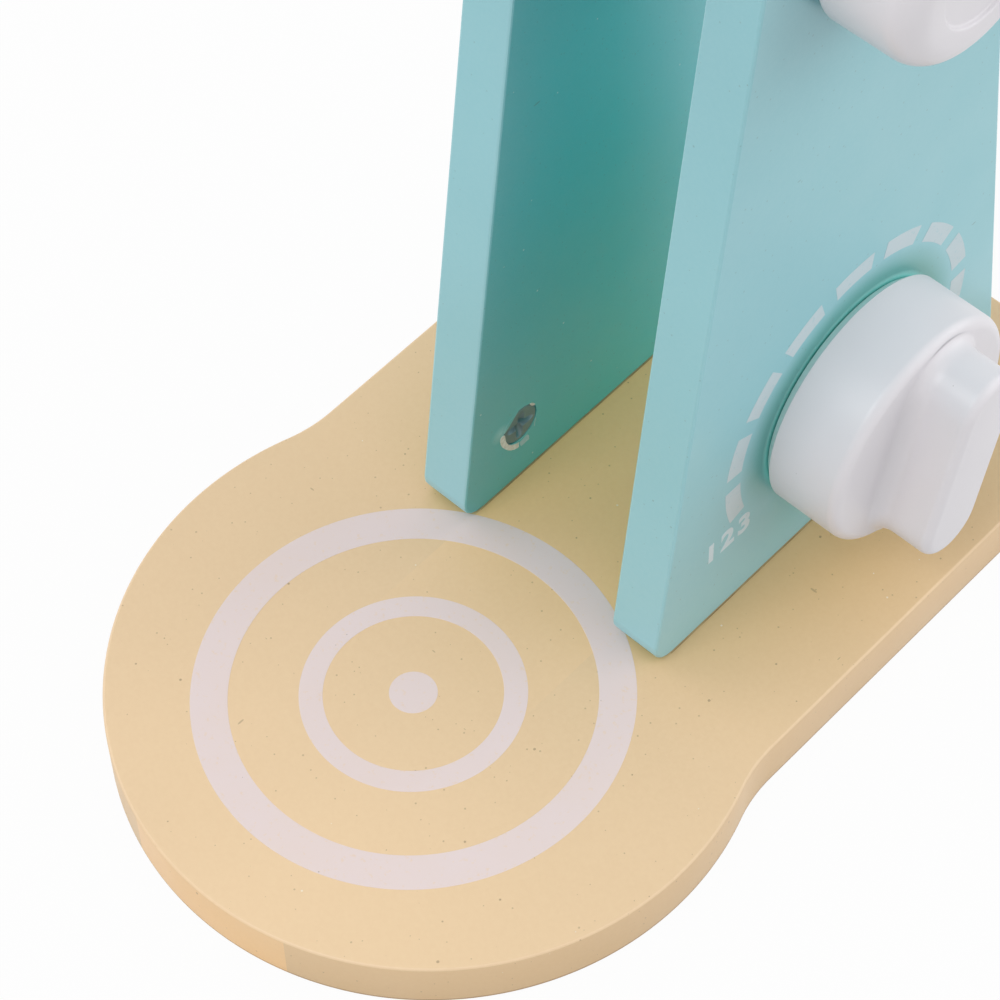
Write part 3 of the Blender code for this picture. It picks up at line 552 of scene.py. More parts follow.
@dataclass(frozen=True)
class BoardPaint:
    """Sprayed satin paint on fibreboard, with dust in it and rubbed edges, and painted shade where other
    surfaces stand close.

    Layers of painted light and shade are laid under the wear and dust, marks over them.
    """

    name: str
    colour: Colour
    rubbed: Colour
    # Tint of the painted shade where other surfaces stand close.
    deep: Colour
    coats: tuple[Layer, ...] = ()
    marks: tuple[Layer, ...] = ()
    shelter: float = 0.06
    shelter_range: Pair = (0.04, 0.62)
    specks: float = 0.85
    roughness: float = 0.42
    gloss: float = 0.40
    core: Colour = (0.42, 0.37, 0.28)
    dust: Colour = (0.13, 0.10, 0.06)
    nick: Colour = (0.92, 0.90, 0.86)

    def material(self) -> Material:
        """Lay out the paint.

        Returns:
            The finished material.
        """
        graph = Graph(self.name)
        shade = tuple(channel * 0.955 for channel in self.colour)
        light = tuple(min(1.0, channel * 1.03) for channel in self.colour)
        graph.colour = graph.blend(graph.cloud(7.0, 3.0, 0.3, 0.7), shade, light)
        graph.lay(graph.cloud(900.0, 2.0, 0.30, 0.75, 0.0, 0.14), self.rubbed)
        # Painted shade: the paint is tinted deeper where other surfaces stand close.
        graph.shelter = graph.sheltered(self.shelter)
        graph.tint(graph.between(graph.shelter, *self.shelter_range), self.deep)
        for shading_coat in self.coats:
            shading_coat.lay(graph)
        self.wear(graph)
        self.dirty(graph)
        for mark in self.marks:
            mark.lay(graph)
        graph.raise_by(graph.noise(650.0), 0.000012)
        graph.raise_by(graph.noise(60.0), 0.00003)
        roughness = graph.cloud(35.0, 3.0, 0.3, 0.7, self.roughness - 0.05, self.roughness + 0.07)
        return graph.finish(roughness, Specular_IOR_Level=self.gloss)

    def wear(self, graph: Graph) -> None:
        """Rub the edges paler, as wear and as a painted edge highlight, and knock a few nicks into them.

        Args:
            graph: The paint's node tree.
        """
        # The paler edges are wear and also stand for a painted highlight along the rounded edges.
        edge = graph.bevelled(0.0006)
        rubbed = graph.times(edge, graph.cloud(60.0, 3.0, 0.40, 0.62))
        graph.lay(graph.times(rubbed, 0.45), self.rubbed)
        nicks = graph.times(graph.above(edge, 0.6), graph.above(graph.noise(260.0, 4.0), 0.70))
        graph.raise_by(nicks, -0.00010)
        graph.lay(nicks, self.core)

    def dirty(self, graph: Graph) -> None:
        """Scatter fine and coarse dust, pale nicks, and short scratches in two directions.

        Args:
            graph: The paint's node tree.
        """
        graph.speckle(430.0, 0.00026, 1.0, 0.40 * self.specks, self.dust)
        coarse = graph.speckle(190.0, 0.00038, 1.7, 0.52 * self.specks, self.dust)
        pale = graph.speckle(170.0, 0.00028, 2.0, 0.45, self.nick)
        for scale in ((1.0, 0.24, 1.0), (0.3, 1.0, 0.45)):
            graph.speckle(130.0, 0.00030, 1.6, 0.35, self.dust, graph.stretched(scale))
        graph.raise_by(coarse, 0.00004)
        graph.raise_by(pale, -0.00005)


@dataclass(frozen=True)
class Clouded:
    """A dull stuff whose colour, relief and roughness follow one cloudy pattern."""

    name: str
    colour: Colour
    shade: Colour
    scale: float = 1100.0
    detail: float = 3.0
    distortion: float = 0.0
    turn: Pair = (0.35, 0.65)
    relief: float = 0.00006
    roughness: Pair = (0.65, 0.85)
    gloss: float = 0.2
    sheen: float = 0.0

    def material(self) -> Material:
        """Lay out the stuff.

        Returns:
            The finished material.
        """
        graph = Graph(self.name)
        pattern = graph.noise(self.scale, self.detail, distortion=self.distortion)
        graph.colour = graph.blend(graph.between(pattern, *self.turn), self.colour, self.shade)
        graph.raise_by(pattern, self.relief)
        roughness = graph.between(pattern, 0.3, 0.7, *self.roughness)
        return graph.finish(roughness, Specular_IOR_Level=self.gloss, Sheen_Weight=self.sheen)


@dataclass(frozen=True)
class KnobPaint:
    """Thick white paint on turned wood, with faint turning rings and dust.

    The foot next to a panel takes a painted reflection of its green.
    """

    name: str
    colour: Colour
    axis: Axis = Axis.X
    foot_x: float = 0.0
    roughness: float = 0.36
    # Tint of the painted reflection of the panel on the foot.
    foot_tint: Colour = (0.98, 1.16, 1.12)
    dust: Colour = (0.25, 0.24, 0.22)
    worn: Colour = (0.62, 0.60, 0.55)

    def material(self) -> Material:
        """Lay out the paint.

        Returns:
            The finished material.
        """
        graph = Graph(self.name)
        cool = tuple(channel * 0.965 for channel in self.colour)
        graph.colour = graph.blend(graph.cloud(22.0, 3.0, 0.32, 0.68), cool, self.colour)
        # Painted reflection of the mint panel on the foot.
        if self.foot_x:
            graph.tint(graph.between(graph.parts[0], self.foot_x, self.foot_x - 0.0004), self.foot_tint)
        graph.speckle(210.0, 0.00020, 1.5, 0.4, self.dust)
        worn = graph.times(graph.bevelled(0.0012), graph.cloud(90.0, 3.0, 0.5, 0.7))
        graph.lay(graph.times(worn, 0.25), self.worn)
        graph.raise_by(graph.grained(self.axis, 900.0, 30.0, 1.0), 0.000012)
        graph.raise_by(graph.noise(420.0), 0.000012)
        graph.raise_by(graph.noise(45.0), 0.00006)
        roughness = graph.cloud(40.0, 2.0, 0.3, 0.7, self.roughness - 0.04, self.roughness + 0.06)
        return graph.finish(roughness, Specular_IOR_Level=0.5, Coat_Weight=0.12, Coat_Roughness=0.3)


@dataclass(frozen=True)
class Beech:
    """Bare sanded beech with short flecks along the grain."""

    name: str
    axis: Axis
    pale: Colour = (0.62, 0.43, 0.26)
    dark: Colour = (0.46, 0.29, 0.155)
    fleck: Colour = (0.30, 0.17, 0.085)
    bleached: Colour = (0.70, 0.52, 0.34)

    def material(self) -> Material:
        """Lay out the wood.

        Returns:
            The finished material.
        """
        graph = Graph(self.name)
        grain = graph.grained(self.axis, 11.0, 190.0, 4.0, 0.6)
        graph.colour = graph.blend(graph.between(grain, 0.35, 0.68), self.pale, self.dark)
        flecks = graph.between(graph.grained(self.axis, 190.0, 1500.0, 1.0), 0.62, 0.72)
        graph.lay(graph.times(flecks, 0.6), self.fleck)
        graph.lay(graph.cloud(18.0, 2.0, 0.3, 0.7, 0.0, 0.22), self.bleached)
        graph.raise_by(grain, -0.00004)
        graph.raise_by(flecks, -0.00003)
        return graph.finish(graph.between(grain, 0.3, 0.7, 0.50, 0.66), Specular_IOR_Level=0.35)


@dataclass(frozen=True)
class Metal:
    """Drawn, cast or machined metal with fine marks along one axis."""

    name: str
    colour: Colour
    dull: Colour
    roughness: float
    axis: Axis = Axis.Y
    mark_scale: float = 1400.0
    mark_depth: float = 0.000008
    bare: float = 1.0

    def material(self) -> Material:
        """Lay out the metal.

        Returns:
            The finished material.
        """
        graph = Graph(self.name)
        stain = graph.noise(70.0, 3.0)
        graph.colour = graph.blend(graph.between(stain, 0.35, 0.72), self.colour, self.dull)
        marks = graph.grained(self.axis, self.mark_scale / 12.0, self.mark_scale, 2.0)
        graph.raise_by(marks, self.mark_depth)
        wear = graph.maths("ADD", marks, graph.times(stain, 0.5))
        roughness = graph.between(wear, 0.5, 1.1, self.roughness - 0.06, self.roughness + 0.12)
        return graph.finish(roughness, Metallic=self.bare)


@dataclass(frozen=True)
class Nylon:
    """Milky moulded nylon."""

    name: str
    colour: Colour = (0.70, 0.69, 0.64)
    milky: Colour = (0.77, 0.76, 0.72)

    def material(self) -> Material:
        """Lay out the plastic.

        Returns:
            The finished material.
        """
        graph = Graph(self.name)
        graph.colour = graph.blend(graph.cloud(90.0, 2.0, 0.3, 0.7), self.colour, self.milky)
        graph.raise_by(graph.noise(1800.0), 0.000006)
        roughness = graph.cloud(160.0, 2.0, 0.3, 0.7, 0.38, 0.50)
        return graph.finish(roughness, Subsurface_Weight=0.08, Subsurface_Scale=0.002)


@dataclass(frozen=True)
class Ink:
    """Thin screen-printed ink that lets the paint below show a little."""

    name: str
    colour: Colour
    under: Colour
    dust: Colour = (0.18, 0.15, 0.12)

    def material(self) -> Material:
        """Lay out the ink.

        Returns:
            The finished material.
        """
        graph = Graph(self.name)
        thin = graph.cloud(55.0, 3.0, 0.35, 0.7, 0.0, 0.10)
        pinholes = graph.cloud(900.0, 2.0, 0.62, 0.74, 0.0, 0.35)
        graph.colour = graph.blend(graph.maths("ADD", thin, pinholes), self.colour, self.under)
        graph.speckle(230.0, 0.00020, 1.5, 0.5, self.dust)
        graph.raise_by(graph.noise(900.0), 0.000008)
        return graph.finish(graph.cloud(70.0, 2.0, 0.3, 0.7, 0.42, 0.55), Specular_IOR_Level=0.4)


# Colours

CREAM: Colour = (0.743, 0.546, 0.338)
CREAM_RUBBED: Colour = (0.85, 0.67, 0.44)
# Tint of the painted shade on the cream.
CREAM_SHADE_TINT: Colour = (0.93, 0.88, 0.72)
# Painted light that brightens the base between the panels.
CREAM_GAP_LIGHT: Colour = (1.29, 1.18, 1.02)
MINT: Colour = (0.273, 0.563, 0.618)
MINT_RUBBED: Colour = (0.36, 0.62, 0.66)
# Tint of the painted shade on the mint.
MINT_SHADE_TINT: Colour = (0.34, 0.98, 0.93)
RING_INK: Colour = (0.725, 0.616, 0.606)
SCALE_INK: Colour = (0.56, 0.66, 0.70)
NUMBER_INK: Colour = (0.64, 0.76, 0.82)
WHITE: Colour = (0.738, 0.716, 0.748)
PURE_WHITE: Colour = (1.0, 1.0, 1.0)

# Values that more than one sub-assembly needs

INK_HEIGHT = 0.00005
DIAL_CENTRE: Pair = (0.108, 0.0619)
CAM_TURNS = {Side.LEFT: math.radians(-8.0), Side.RIGHT: math.radians(22.0)}
TEAR_PITCH = 130.0


def mint_paint(name: str, coats: tuple[Layer, ...] = (), marks: tuple[Layer, ...] = ()) -> Material:
    """Spray a board mint, as the panels, the rail and the head are, with painted shade where other surfaces
    stand close.
    """
    return BoardPaint(name, MINT, MINT_RUBBED, MINT_SHADE_TINT, coats, marks, shelter=0.12,
                      shelter_range=(0.62, 0.92), specks=0.5, roughness=0.36, gloss=0.60).material()


def dress(material: Material, nodes: Iterable[str]) -> None:
    """Give CAD nodes a finish.

    Args:
        material: The finish.
        nodes: Names of the nodes.
    """
    for name in nodes:
        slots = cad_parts[name].data.materials
        slots.clear()
        slots.append(material)
        log.info("%s is dressed in %s", name, material.name)


def stand(name: str, data: bpy.types.ID) -> bpy.types.Object:
    """Put a new object in the scene.

    Args:
        name: Its name.
        data: Its mesh, curve, lamp or camera.

    Returns:
        The object.
    """
    made = bpy.data.objects.new(name, data)
    bpy.context.scene.collection.objects.link(made)
    return made


# Mesh work

class Profile:
    """Runs of points for turned outlines, as pairs of radius and height."""

    @staticmethod
    def quarter(steps: int) -> list[Pair]:
        """Give 1 less the cosine, and the sine, of the angles along a quarter turn."""
        angles = [math.pi / 2 * step / steps for step in range(steps + 1)]
        return [(1 - math.cos(angle), math.sin(angle)) for angle in angles]

    @staticmethod
    def corner(centre: Pair, size: float, start: float, end: float, steps: int = 8) -> list[Pair]:
        """Round a corner.

        Args:
            centre: Centre of the rounding.
            size: Its radius.
            start: First angle in degrees.
            end: Last angle in degrees.
            steps: Number of stretches.

        Returns:
            The points, with both ends.
        """
        angles = [math.radians(start + (end - start) * step / steps) for step in range(steps + 1)]
        return [(centre[0] + size * math.cos(angle), centre[1] + size * math.sin(angle)) for angle in angles]

    @staticmethod
    def ease(first: Pair, last: Pair, steps: int = 14) -> list[Pair]:
        """Run from one radius to another in a soft S.

        Args:
            first: Radius and height at the start.
            last: Radius and height at the end.
            steps: Number of stretches.

        Returns:
            The points, with both ends.
        """
        points = []
        for step in range(steps + 1):
            share = step / steps
            soft = (1 - math.cos(math.pi * share)) / 2
            points.append((first[0] + (last[0] - first[0]) * soft, first[1] + (last[1] - first[1]) * share))
        return points

    @staticmethod
    def circle(radius: float, height: float, count: int) -> list[Point]:
        """Give the points of a level circle round the Z axis."""
        return [(radius * math.cos(math.tau * index / count), radius * math.sin(math.tau * index / count),
                 height) for index in range(count)]


class Maker:
    """Builds meshes in a local frame and sets them down in the row frame."""

    def __init__(self, body: Body, place: Optional[Matrix] = None) -> None:
        """Hold what the pieces ride on and where their local frame lies.

        Args:
            body: The body that the pieces ride on.
            place: Local frame at rest, or the row frame.
        """
        self.body = body
        self.place = place or Matrix.Identity(4)

    def piece(self, name: str, shape: Form, material: Material,
              stands_for: Sequence[str] = (), sharp: float = 40.0) -> None:
        """Turn a form into a finished piece that rides on the body.

        Args:
            name: Name of the piece.
            shape: Its form in the local frame; it is used up.
            material: Its finish.
            stands_for: CAD nodes that it replaces.
            sharp: Angle in degrees from which an edge is sharp.
        """
        bmesh.ops.recalc_face_normals(shape, faces=shape.faces)
        mesh = bpy.data.meshes.new(name)
        shape.to_mesh(mesh)
        shape.free()
        mesh.transform(self.place)
        mesh.shade_smooth()
        mesh.set_sharp_from_angle(angle=math.radians(sharp))
        mesh.materials.append(material)
        made = stand(name, mesh)
        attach(made, self.body.value)
        if stands_for:
            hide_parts(*stands_for)
        log.info("%s rides on %s", name, self.body.value)

    @staticmethod
    def bridge(shape: Form, low: Sequence[bmesh.types.BMVert], high: Sequence[bmesh.types.BMVert]) -> None:
        """Join two rows of corners by faces; a row of a single corner is a tip.

        Args:
            shape: The form that the faces are added to.
            low: First row.
            high: Second row.
        """
        count = max(len(low), len(high))
        for index in range(count):
            after = (index + 1) % count
            if len(low) == 1:
                shape.faces.new((low[0], high[after], high[index]))
            elif len(high) == 1:
                shape.faces.new((low[index], low[after], high[0]))
            else:
                shape.faces.new((low[index], low[after], high[after], high[index]))

    @staticmethod
    def turned(points: Sequence[Pair], segments: int = 96,
               reach: Optional[Callable[[float, float], float]] = None) -> Form:
        """Spin a profile about the local Z axis.

        Args:
            points: Pairs of radius and height; one off the axis at both ends makes a ring.
            segments: Number of steps round the axis.
            reach: Gives the radius from the profile's radius and the angle, or None for round.

        Returns:
            The closed form.
        """
        shape = bmesh.new()
        rows = []
        for radius, height in points:
            angles = [math.tau * index / segments for index in range(segments if radius else 1)]
            fars = [reach(radius, angle) if reach and radius else radius for angle in angles]
            rows.append([shape.verts.new((far * math.cos(angle), far * math.sin(angle), height))
                         for far, angle in zip(fars, angles)])
        if len(rows[0]) > 1 and len(rows[-1]) > 1:
            rows.append(rows[0])
        for low, high in zip(rows, rows[1:]):
            Maker.bridge(shape, low, high)
        return shape

    @staticmethod
    def lofted(rings: Sequence[Sequence[Point]]) -> Form:
        """Bridge rings of equally many points and close both ends.

        Args:
            rings: The rings in order.

        Returns:
            The closed form.
        """
        shape = bmesh.new()
        rows = [[shape.verts.new(point) for point in ring] for ring in rings]
        for low, high in zip(rows, rows[1:]):
            Maker.bridge(shape, low, high)
        for row in (rows[0], rows[-1]):
            middle = sum((vert.co for vert in row), Vector()) / len(row)
            Maker.bridge(shape, row, [shape.verts.new(middle)])
        return shape

    @staticmethod
    def swept(outline: Sequence[Point], course: Point) -> Form:
        """Sweep a flat outline along a straight course.

        Args:
            outline: Corners of the outline in order.
            course: The straight way that it is swept.

        Returns:
            The closed form.
        """
        shape = bmesh.new()
        rows = [[shape.verts.new(Vector(point) + shift) for point in outline]
                for shift in (Vector(), Vector(course))]
        Maker.bridge(shape, *rows)
        for row in rows:
            shape.faces.new(row)
        return shape

    @staticmethod
    def tube(course: Sequence[Vector], radius: float, sides: int = 14) -> Form:
        """Run a round wire along a course that lies in one plane.

        Args:
            course: Points on the wire's axis.
            radius: Radius of the wire.
            sides: Number of flats round it.

        Returns:
            The closed form.
        """
        shape = bmesh.new()
        across = (course[-1] - course[0]).cross(course[len(course) // 2] - course[0]).normalized()
        rows = []
        for index, point in enumerate(course):
            ahead = course[min(index + 1, len(course) - 1)] - course[max(index - 1, 0)]
            outward = ahead.normalized().cross(across)
            spokes = [outward * c + across * s for c, s, _ in Profile.circle(1.0, 0.0, sides)]
            rows.append([shape.verts.new(point + spoke * radius) for spoke in spokes])
        for low, high in zip(rows, rows[1:]):
            Maker.bridge(shape, low, high)
        for row in (rows[0], rows[-1]):
            shape.faces.new(row)
        return shape


# Base board

@dataclass
class Base:
    """The base board and the rings that are printed on it."""

    front_radius: float = 0.0775
    front_centre: float = 0.0072
    waist_inset: float = 0.00625
    waist_radius: float = 0.040
    rear_corner: float = 0.030
    edge_round: float = 0.0008
    dot_radius: float = 0.0057
    inner_ring: Pair = (0.0211, 0.0267)
    outer_ring: Pair = (0.0432, 0.0520)
    ink_foot: float = 0.0002
    foot_round: float = 0.0055

    def build(self) -> None:
        """Cut the board and print the rings."""
        low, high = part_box("base_board")
        foot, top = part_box("right_side_panel")
        seam = Seam((foot.x + top.x) / 2, (top.x - foot.x) / 2, foot.y + self.foot_round, top.y)
        # Painted light brightens the base between the panels.
        gap = GapShading(foot.x, (0.04, 0.62), CREAM_GAP_LIGHT, CREAM_GAP_LIGHT, CREAM_GAP_LIGHT, paling=(0.0, 1.0, 1.0, 1.0), lip=0.0)
        # The base's wall gets painted light, a painted shadow at its foot and a painted highlight on its rim.
        cream = BoardPaint("cream_board_paint", CREAM, CREAM_RUBBED, CREAM_SHADE_TINT,
                           (gap, WallShading(high.z - self.edge_round)), (seam,))
        Maker(Body.COLUMN).piece("base_board_routed", self.board(low.z, high.z, high.y), cream.material(),
                                 ["base_board"])
        ink = Ink("ring_ink", RING_INK, CREAM).material()
        maker = Maker(Body.COLUMN, Matrix.Translation((0, 0, high.z)))
        for name, (inner, outer) in (("inner_printed_ring", self.inner_ring),
                                     ("outer_printed_ring", self.outer_ring),
                                     ("printed_dot", (0, self.dot_radius))):
            maker.piece(name, self.ring(inner, outer), ink)

    def board(self, low: float, high: float, rear: float) -> Form:
        """Cut the board to its outline and round both edges.

        Args:
            low: Height of its underside.
            high: Height of its top.
            rear: Where its rear edge lies along Y.

        Returns:
            The closed form.
        """
        size = self.edge_round
        rings = [(size * (1 - rise), low + size * fall) for fall, rise in Profile.quarter(4)]
        rings += [(inset, low + high - height) for inset, height in reversed(rings)]
        return Maker.lofted([self.outline(inset, height, rear) for inset, height in rings])

    def outline(self, inset: float, height: float, rear: float) -> list[Point]:
        """Run round the board: round front, a waist on each side, straight sides, round rear corners.

        Args:
            inset: How far inside the full outline it runs.
            height: Its height.
            rear: Where the rear edge lies along Y.

        Returns:
            The points in order.
        """
        half_width = self.front_radius - self.waist_inset
        across = half_width + self.waist_radius
        reach = self.front_radius + self.waist_radius
        tangent = math.degrees(math.acos(across / reach))
        waist_y = self.front_centre + reach * math.sin(math.radians(tangent))
        corner = self.rear_corner
        half = Profile.corner((0, self.front_centre), self.front_radius - inset, -90, tangent, 90)
        half += Profile.corner((across, waist_y), self.waist_radius + inset, 180 + tangent, 180, 16)[1:]
        half += Profile.corner((half_width - corner, rear - corner), corner - inset, 0, 90, 20)
        other = [(-x, y) for x, y in reversed(half[1:])]
        return [(x, y, height) for x, y in half + other]

    def ring(self, inner: float, outer: float) -> Form:
        """Make one flat printed ring, or a dot where the inner radius is zero.

        Args:
            inner: Inner radius.
            outer: Outer radius.

        Returns:
            The ring with softened upper edges.
        """
        soft = INK_HEIGHT
        points = [(inner, -self.ink_foot), (outer, -self.ink_foot), (outer, 0), (outer - soft, soft)]
        points += [(inner + soft, soft), (inner, 0)] if inner else [(0, soft)]
        return Maker.turned(points, 180)


# Side panels and what stands between them

@dataclass
class Column:
    """The boards that stand on the base, with their dowels, bolts and printed scale."""

    mark_radii: Pair = (0.03765, 0.0428)
    mark_first: float = 189.9
    mark_pitch: float = 24.5
    mark_spread: float = 17.9
    mark_count: int = 9
    number_height: float = 0.0066
    number_stroke: float = 0.00037
    first_number: Pair = (0.0612, 0.0428)
    number_pitch: float = 0.0058
    number_count: int = 3
    face_slack: float = 0.0003
    halo_inset: float = 0.001
    bruise_spot: Pair = (-0.0068, 0.0030)

    def build(self) -> None:
        """Dress the boards and print the scale."""
        self.dress_boards()
        self.dress_fittings()
        self.print_scale()

    def dress_boards(self) -> None:
        """Paint the panels and the stop rail."""
        # Painted shade deepens the panels and the rail where they look into the gap.
        gap = GapShading(-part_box("left_side_panel")[1].x + self.face_slack)
        low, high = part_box("left_front_cam_lock")
        middle = (low + high) / 2
        swell_highlight = SwellHighlight(middle.y + self.bruise_spot[0], middle.z + self.bruise_spot[1], gap.half)
        # Painted shadow round the dial and painted light under it.
        knob_shading = KnobShading(*DIAL_CENTRE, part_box("right_side_panel")[1].x - self.halo_inset)
        dress(mint_paint("mint_panel_paint", (gap, PaleFoot(), knob_shading), (swell_highlight,)),
              ["left_side_panel", "right_side_panel"])
        dress(mint_paint("mint_rail_paint", (gap,)), ["stop_rail"])

    def dress_fittings(self) -> None:
        """Give dowels, bolts and washers their wood, metal and cloth."""
        dress(Beech("beech_across", Axis.X).material(), ["left_rail_dowel", "right_rail_dowel"])
        dress(Beech("beech_upright", Axis.Z).material(), ["left_foot_dowel", "right_foot_dowel"])
        steel = Metal("bolt_steel", (0.62, 0.62, 0.60), (0.46, 0.46, 0.44), 0.30, Axis.Z)
        bolts = [side + end + "_cam_bolt" for side in ("left_", "right_") for end in ("front", "rear")]
        dress(steel.material(), bolts + ["dial_plain_washer"])
        dress(Nylon("white_nylon").material(), ["left_head_washer", "right_head_washer"])
        felt = Clouded("grey_felt", (0.20, 0.20, 0.20), (0.36, 0.36, 0.35), 2600.0, 4.0, 1.5, (0.35, 0.7),
                       0.00012, (0.85, 0.98), gloss=0.5, sheen=0.3)
        dress(felt.material(), ["left_knob_washer", "right_knob_washer", "dial_friction_washer"])

    def print_scale(self) -> None:
        """Print the dashes round the dial and plain numbers before the first of them."""
        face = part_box("right_side_panel")[1].x
        ink = Ink("scale_ink", SCALE_INK, MINT).material()
        maker = Maker(Body.COLUMN, Matrix.Translation((face, 0, 0)))
        for index in range(self.mark_count):
            dash = self.dash(self.mark_first - self.mark_pitch * index)
            maker.piece("scale_mark_%d" % (index + 1), dash, ink)
        ink = Ink("number_ink", NUMBER_INK, MINT).material()
        for index in range(self.number_count):
            self.number(str(index + 1), self.first_number[0] + self.number_pitch * index, face, ink)

    def dash(self, middle: float) -> Form:
        """Make one curved dash of the scale.

        Args:
            middle: Angle of its middle in degrees, from the back upwards.

        Returns:
            The dash, proud of the panel by the ink's height.
        """
        start = math.radians(middle + self.mark_spread / 2)
        end = math.radians(middle - self.mark_spread / 2)
        angles = [start + (end - start) * step / 12 for step in range(13)]
        inner, outer = self.mark_radii
        corners = [(outer, angle) for angle in angles] + [(inner, angle) for angle in reversed(angles)]
        outline = [(-INK_HEIGHT, DIAL_CENTRE[0] + radius * math.cos(angle),
                    DIAL_CENTRE[1] + radius * math.sin(angle)) for radius, angle in corners]
        return Maker.swept(outline, (2 * INK_HEIGHT, 0, 0))

    def number(self, digit: str, along: float, face: float, ink: Material) -> None:
        """Print a plain number below the front end of the scale.

        Args:
            digit: The number.
            along: Where its middle lies along Y.
            face: Where the panel's outer face lies along X.
            ink: The finish.
        """
        name = "scale_number_" + digit
        curve = bpy.data.curves.new(name, "FONT")
        curve.body = digit
        curve.size = self.number_height * 1.4
        curve.align_x = "CENTER"
        curve.extrude = INK_HEIGHT
        curve.offset = self.number_stroke
        letter = stand(name, curve)
        bpy.context.view_layer.update()
        mesh = bpy.data.meshes.new_from_object(letter)
        bpy.data.objects.remove(letter, do_unlink=True)
        upright = Matrix(((0, 0, 1, 0), (1, 0, 0, 0), (0, 1, 0, 0), (0, 0, 0, 1)))
        spot = Matrix.Translation((face, along, self.first_number[1] - self.number_height / 2))
        shape = bmesh.new()
        shape.from_mesh(mesh)
        bpy.data.meshes.remove(mesh)
        bmesh.ops.remove_doubles(shape, verts=shape.verts, dist=1e-6)
        Maker(Body.COLUMN, spot @ upright).piece(name, shape, ink)


# Cam locks

@dataclass
class CamLock:
    """One cast cam with a tapered cross recess, set in the inner face of a panel."""

    node: str
    side: Side
    turn: float
    rim_chamfer: float = 0.00025
    recess_reach: float = 0.0046
    recess_throat: float = 0.0018
    recess_depth: float = 0.0016
    pinch: float = 2.4
    segments: int = 96

    def build(self, metal: Material) -> None:
        """Make the cam in the place of its node.

        Args:
            metal: The finish.
        """
        low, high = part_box(self.node)
        middle = (low + high) / 2
        back = low.x if self.side is Side.LEFT else high.x
        tip = Matrix.Rotation(-self.side.value * math.pi / 2, 4, "Y")
        place = Matrix.Translation((back, middle.y, middle.z)) @ tip @ Matrix.Rotation(self.turn, 4, "Z")
        cam = self.cam((high.z - low.z) / 2, high.x - low.x)
        Maker(Body.COLUMN, place).piece(self.node + "_cast", cam, metal, [self.node], 30.0)

    def cam(self, radius: float, length: float) -> Form:
        """Model the cam's body with its recess sunk into the face.

        Args:
            radius: Radius of the cam.
            length: Its length along its axis.

        Returns:
            The closed form.
        """
        rim = radius - self.rim_chamfer
        outline = [(radius, 0.0), (radius, length - self.rim_chamfer), (rim, length), (0.9 * rim, length)]
        rings = [Profile.circle(far, height, self.segments) for far, height in outline]
        return Maker.lofted(rings + self.recess(length))

    def recess(self, height: float) -> list[list[Point]]:
        """Sink a cross with pointed arms that slopes down to its middle.

        Args:
            height: Height of the face it is sunk into.

        Returns:
            The rings from the mouth down.
        """
        rings = []
        for share, depth in ((1.0, 0.0), (0.93, 0.25), (0.62, 0.75), (0.25, 1.0)):
            ring = []
            for index in range(self.segments):
                angle = math.tau * index / self.segments
                lobe = abs(math.cos(2 * angle)) ** self.pinch
                far = (self.recess_throat + (self.recess_reach - self.recess_throat) * lobe) * share
                sunk = height - self.recess_depth * depth
                ring.append((far * math.cos(angle), far * math.sin(angle), sunk))
            rings.append(ring)
        return rings


@dataclass
class BrokenPaint:
    """The paint torn round the mouth of a cam hole: bare primer, a thin flake and a skin over the edge.

    Every outline is a run of (angle in degrees, radius in millimetres) from the back upwards.
    """

    node: str
    side: Side
    turn: float = 0.0
    proud: float = 0.00006
    sunk: float = 0.00010
    crescent: tuple[Pair, ...] = (
        (166, 6.0), (167, 6.55), (171, 6.9), (180, 6.95), (193, 6.9), (205, 6.9), (219, 7.0), (232, 7.35),
        (244, 7.8), (254, 8.2), (262, 8.45), (266, 8.4), (265, 7.6), (266, 6.7), (256, 6.45), (244, 6.15),
        (230, 5.85), (215, 5.55), (197, 5.3), (180, 5.2), (171, 5.35))
    flake: tuple[Pair, ...] = (
        (268, 6.9), (279, 6.8), (290, 6.75), (292, 7.9), (289, 9.4), (280, 9.1), (271, 9.0), (269, 8.0))
    skin: tuple[Pair, ...] = (
        (161, 5.6), (150, 4.95), (140, 4.72), (128, 4.70), (115, 4.95), (104, 5.35), (96, 5.7), (94, 6.25),
        (110, 6.2), (128, 6.2), (146, 6.2), (163, 6.25))
    sliver: tuple[Pair, ...] = (
        (53, 5.75), (44, 5.42), (35, 5.45), (28, 5.75), (28, 6.1), (36, 6.15), (46, 6.15), (53, 6.1))
    scratch: tuple[Pair, ...] = (
        (334, 6.1), (326, 6.45), (318, 6.9), (312, 7.45), (311, 7.35), (317, 6.75), (325, 6.3), (333, 6.0))

    def build(self, primer: Material, thin: Material, paint: Material) -> None:
        """Lay the torn pieces round the hole.

        Args:
            primer: Finish of the bare primer.
            thin: Finish of the flake that is only scraped thin.
            paint: The panel's own paint.
        """
        word = self.node.replace("_cam_lock", "")
        for name, outline, finish in (("_bare_primer", self.crescent, primer),
                                      ("_thin_paint", self.flake, thin),
                                      ("_paint_skin", self.skin, paint),
                                      ("_primer_sliver", self.sliver, primer),
                                      ("_paint_scratch", self.scratch, thin)):
            Maker(Body.COLUMN).piece(word + name, self.plate(outline), finish)

    def plate(self, outline: Sequence[Pair]) -> Form:
        """Cut one thin plate to its outline.

        Args:
            outline: The run of angles and radii.

        Returns:
            The closed form.
        """
        low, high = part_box(self.node)
        middle = (low + high) / 2
        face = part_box("left_side_panel")[1].x if self.side is Side.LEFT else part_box("right_side_panel")[0].x
        inward = -self.side.value
        corners = []
        for angle, radius in outline:
            turned = math.radians(angle) + self.turn
            far = radius / 1000
            corners.append((face - inward * self.sunk, middle.y + far * math.cos(turned),
                            middle.z + far * math.sin(turned)))
        return Maker.swept(corners, (inward * (self.sunk + self.proud), 0, 0))


# Head

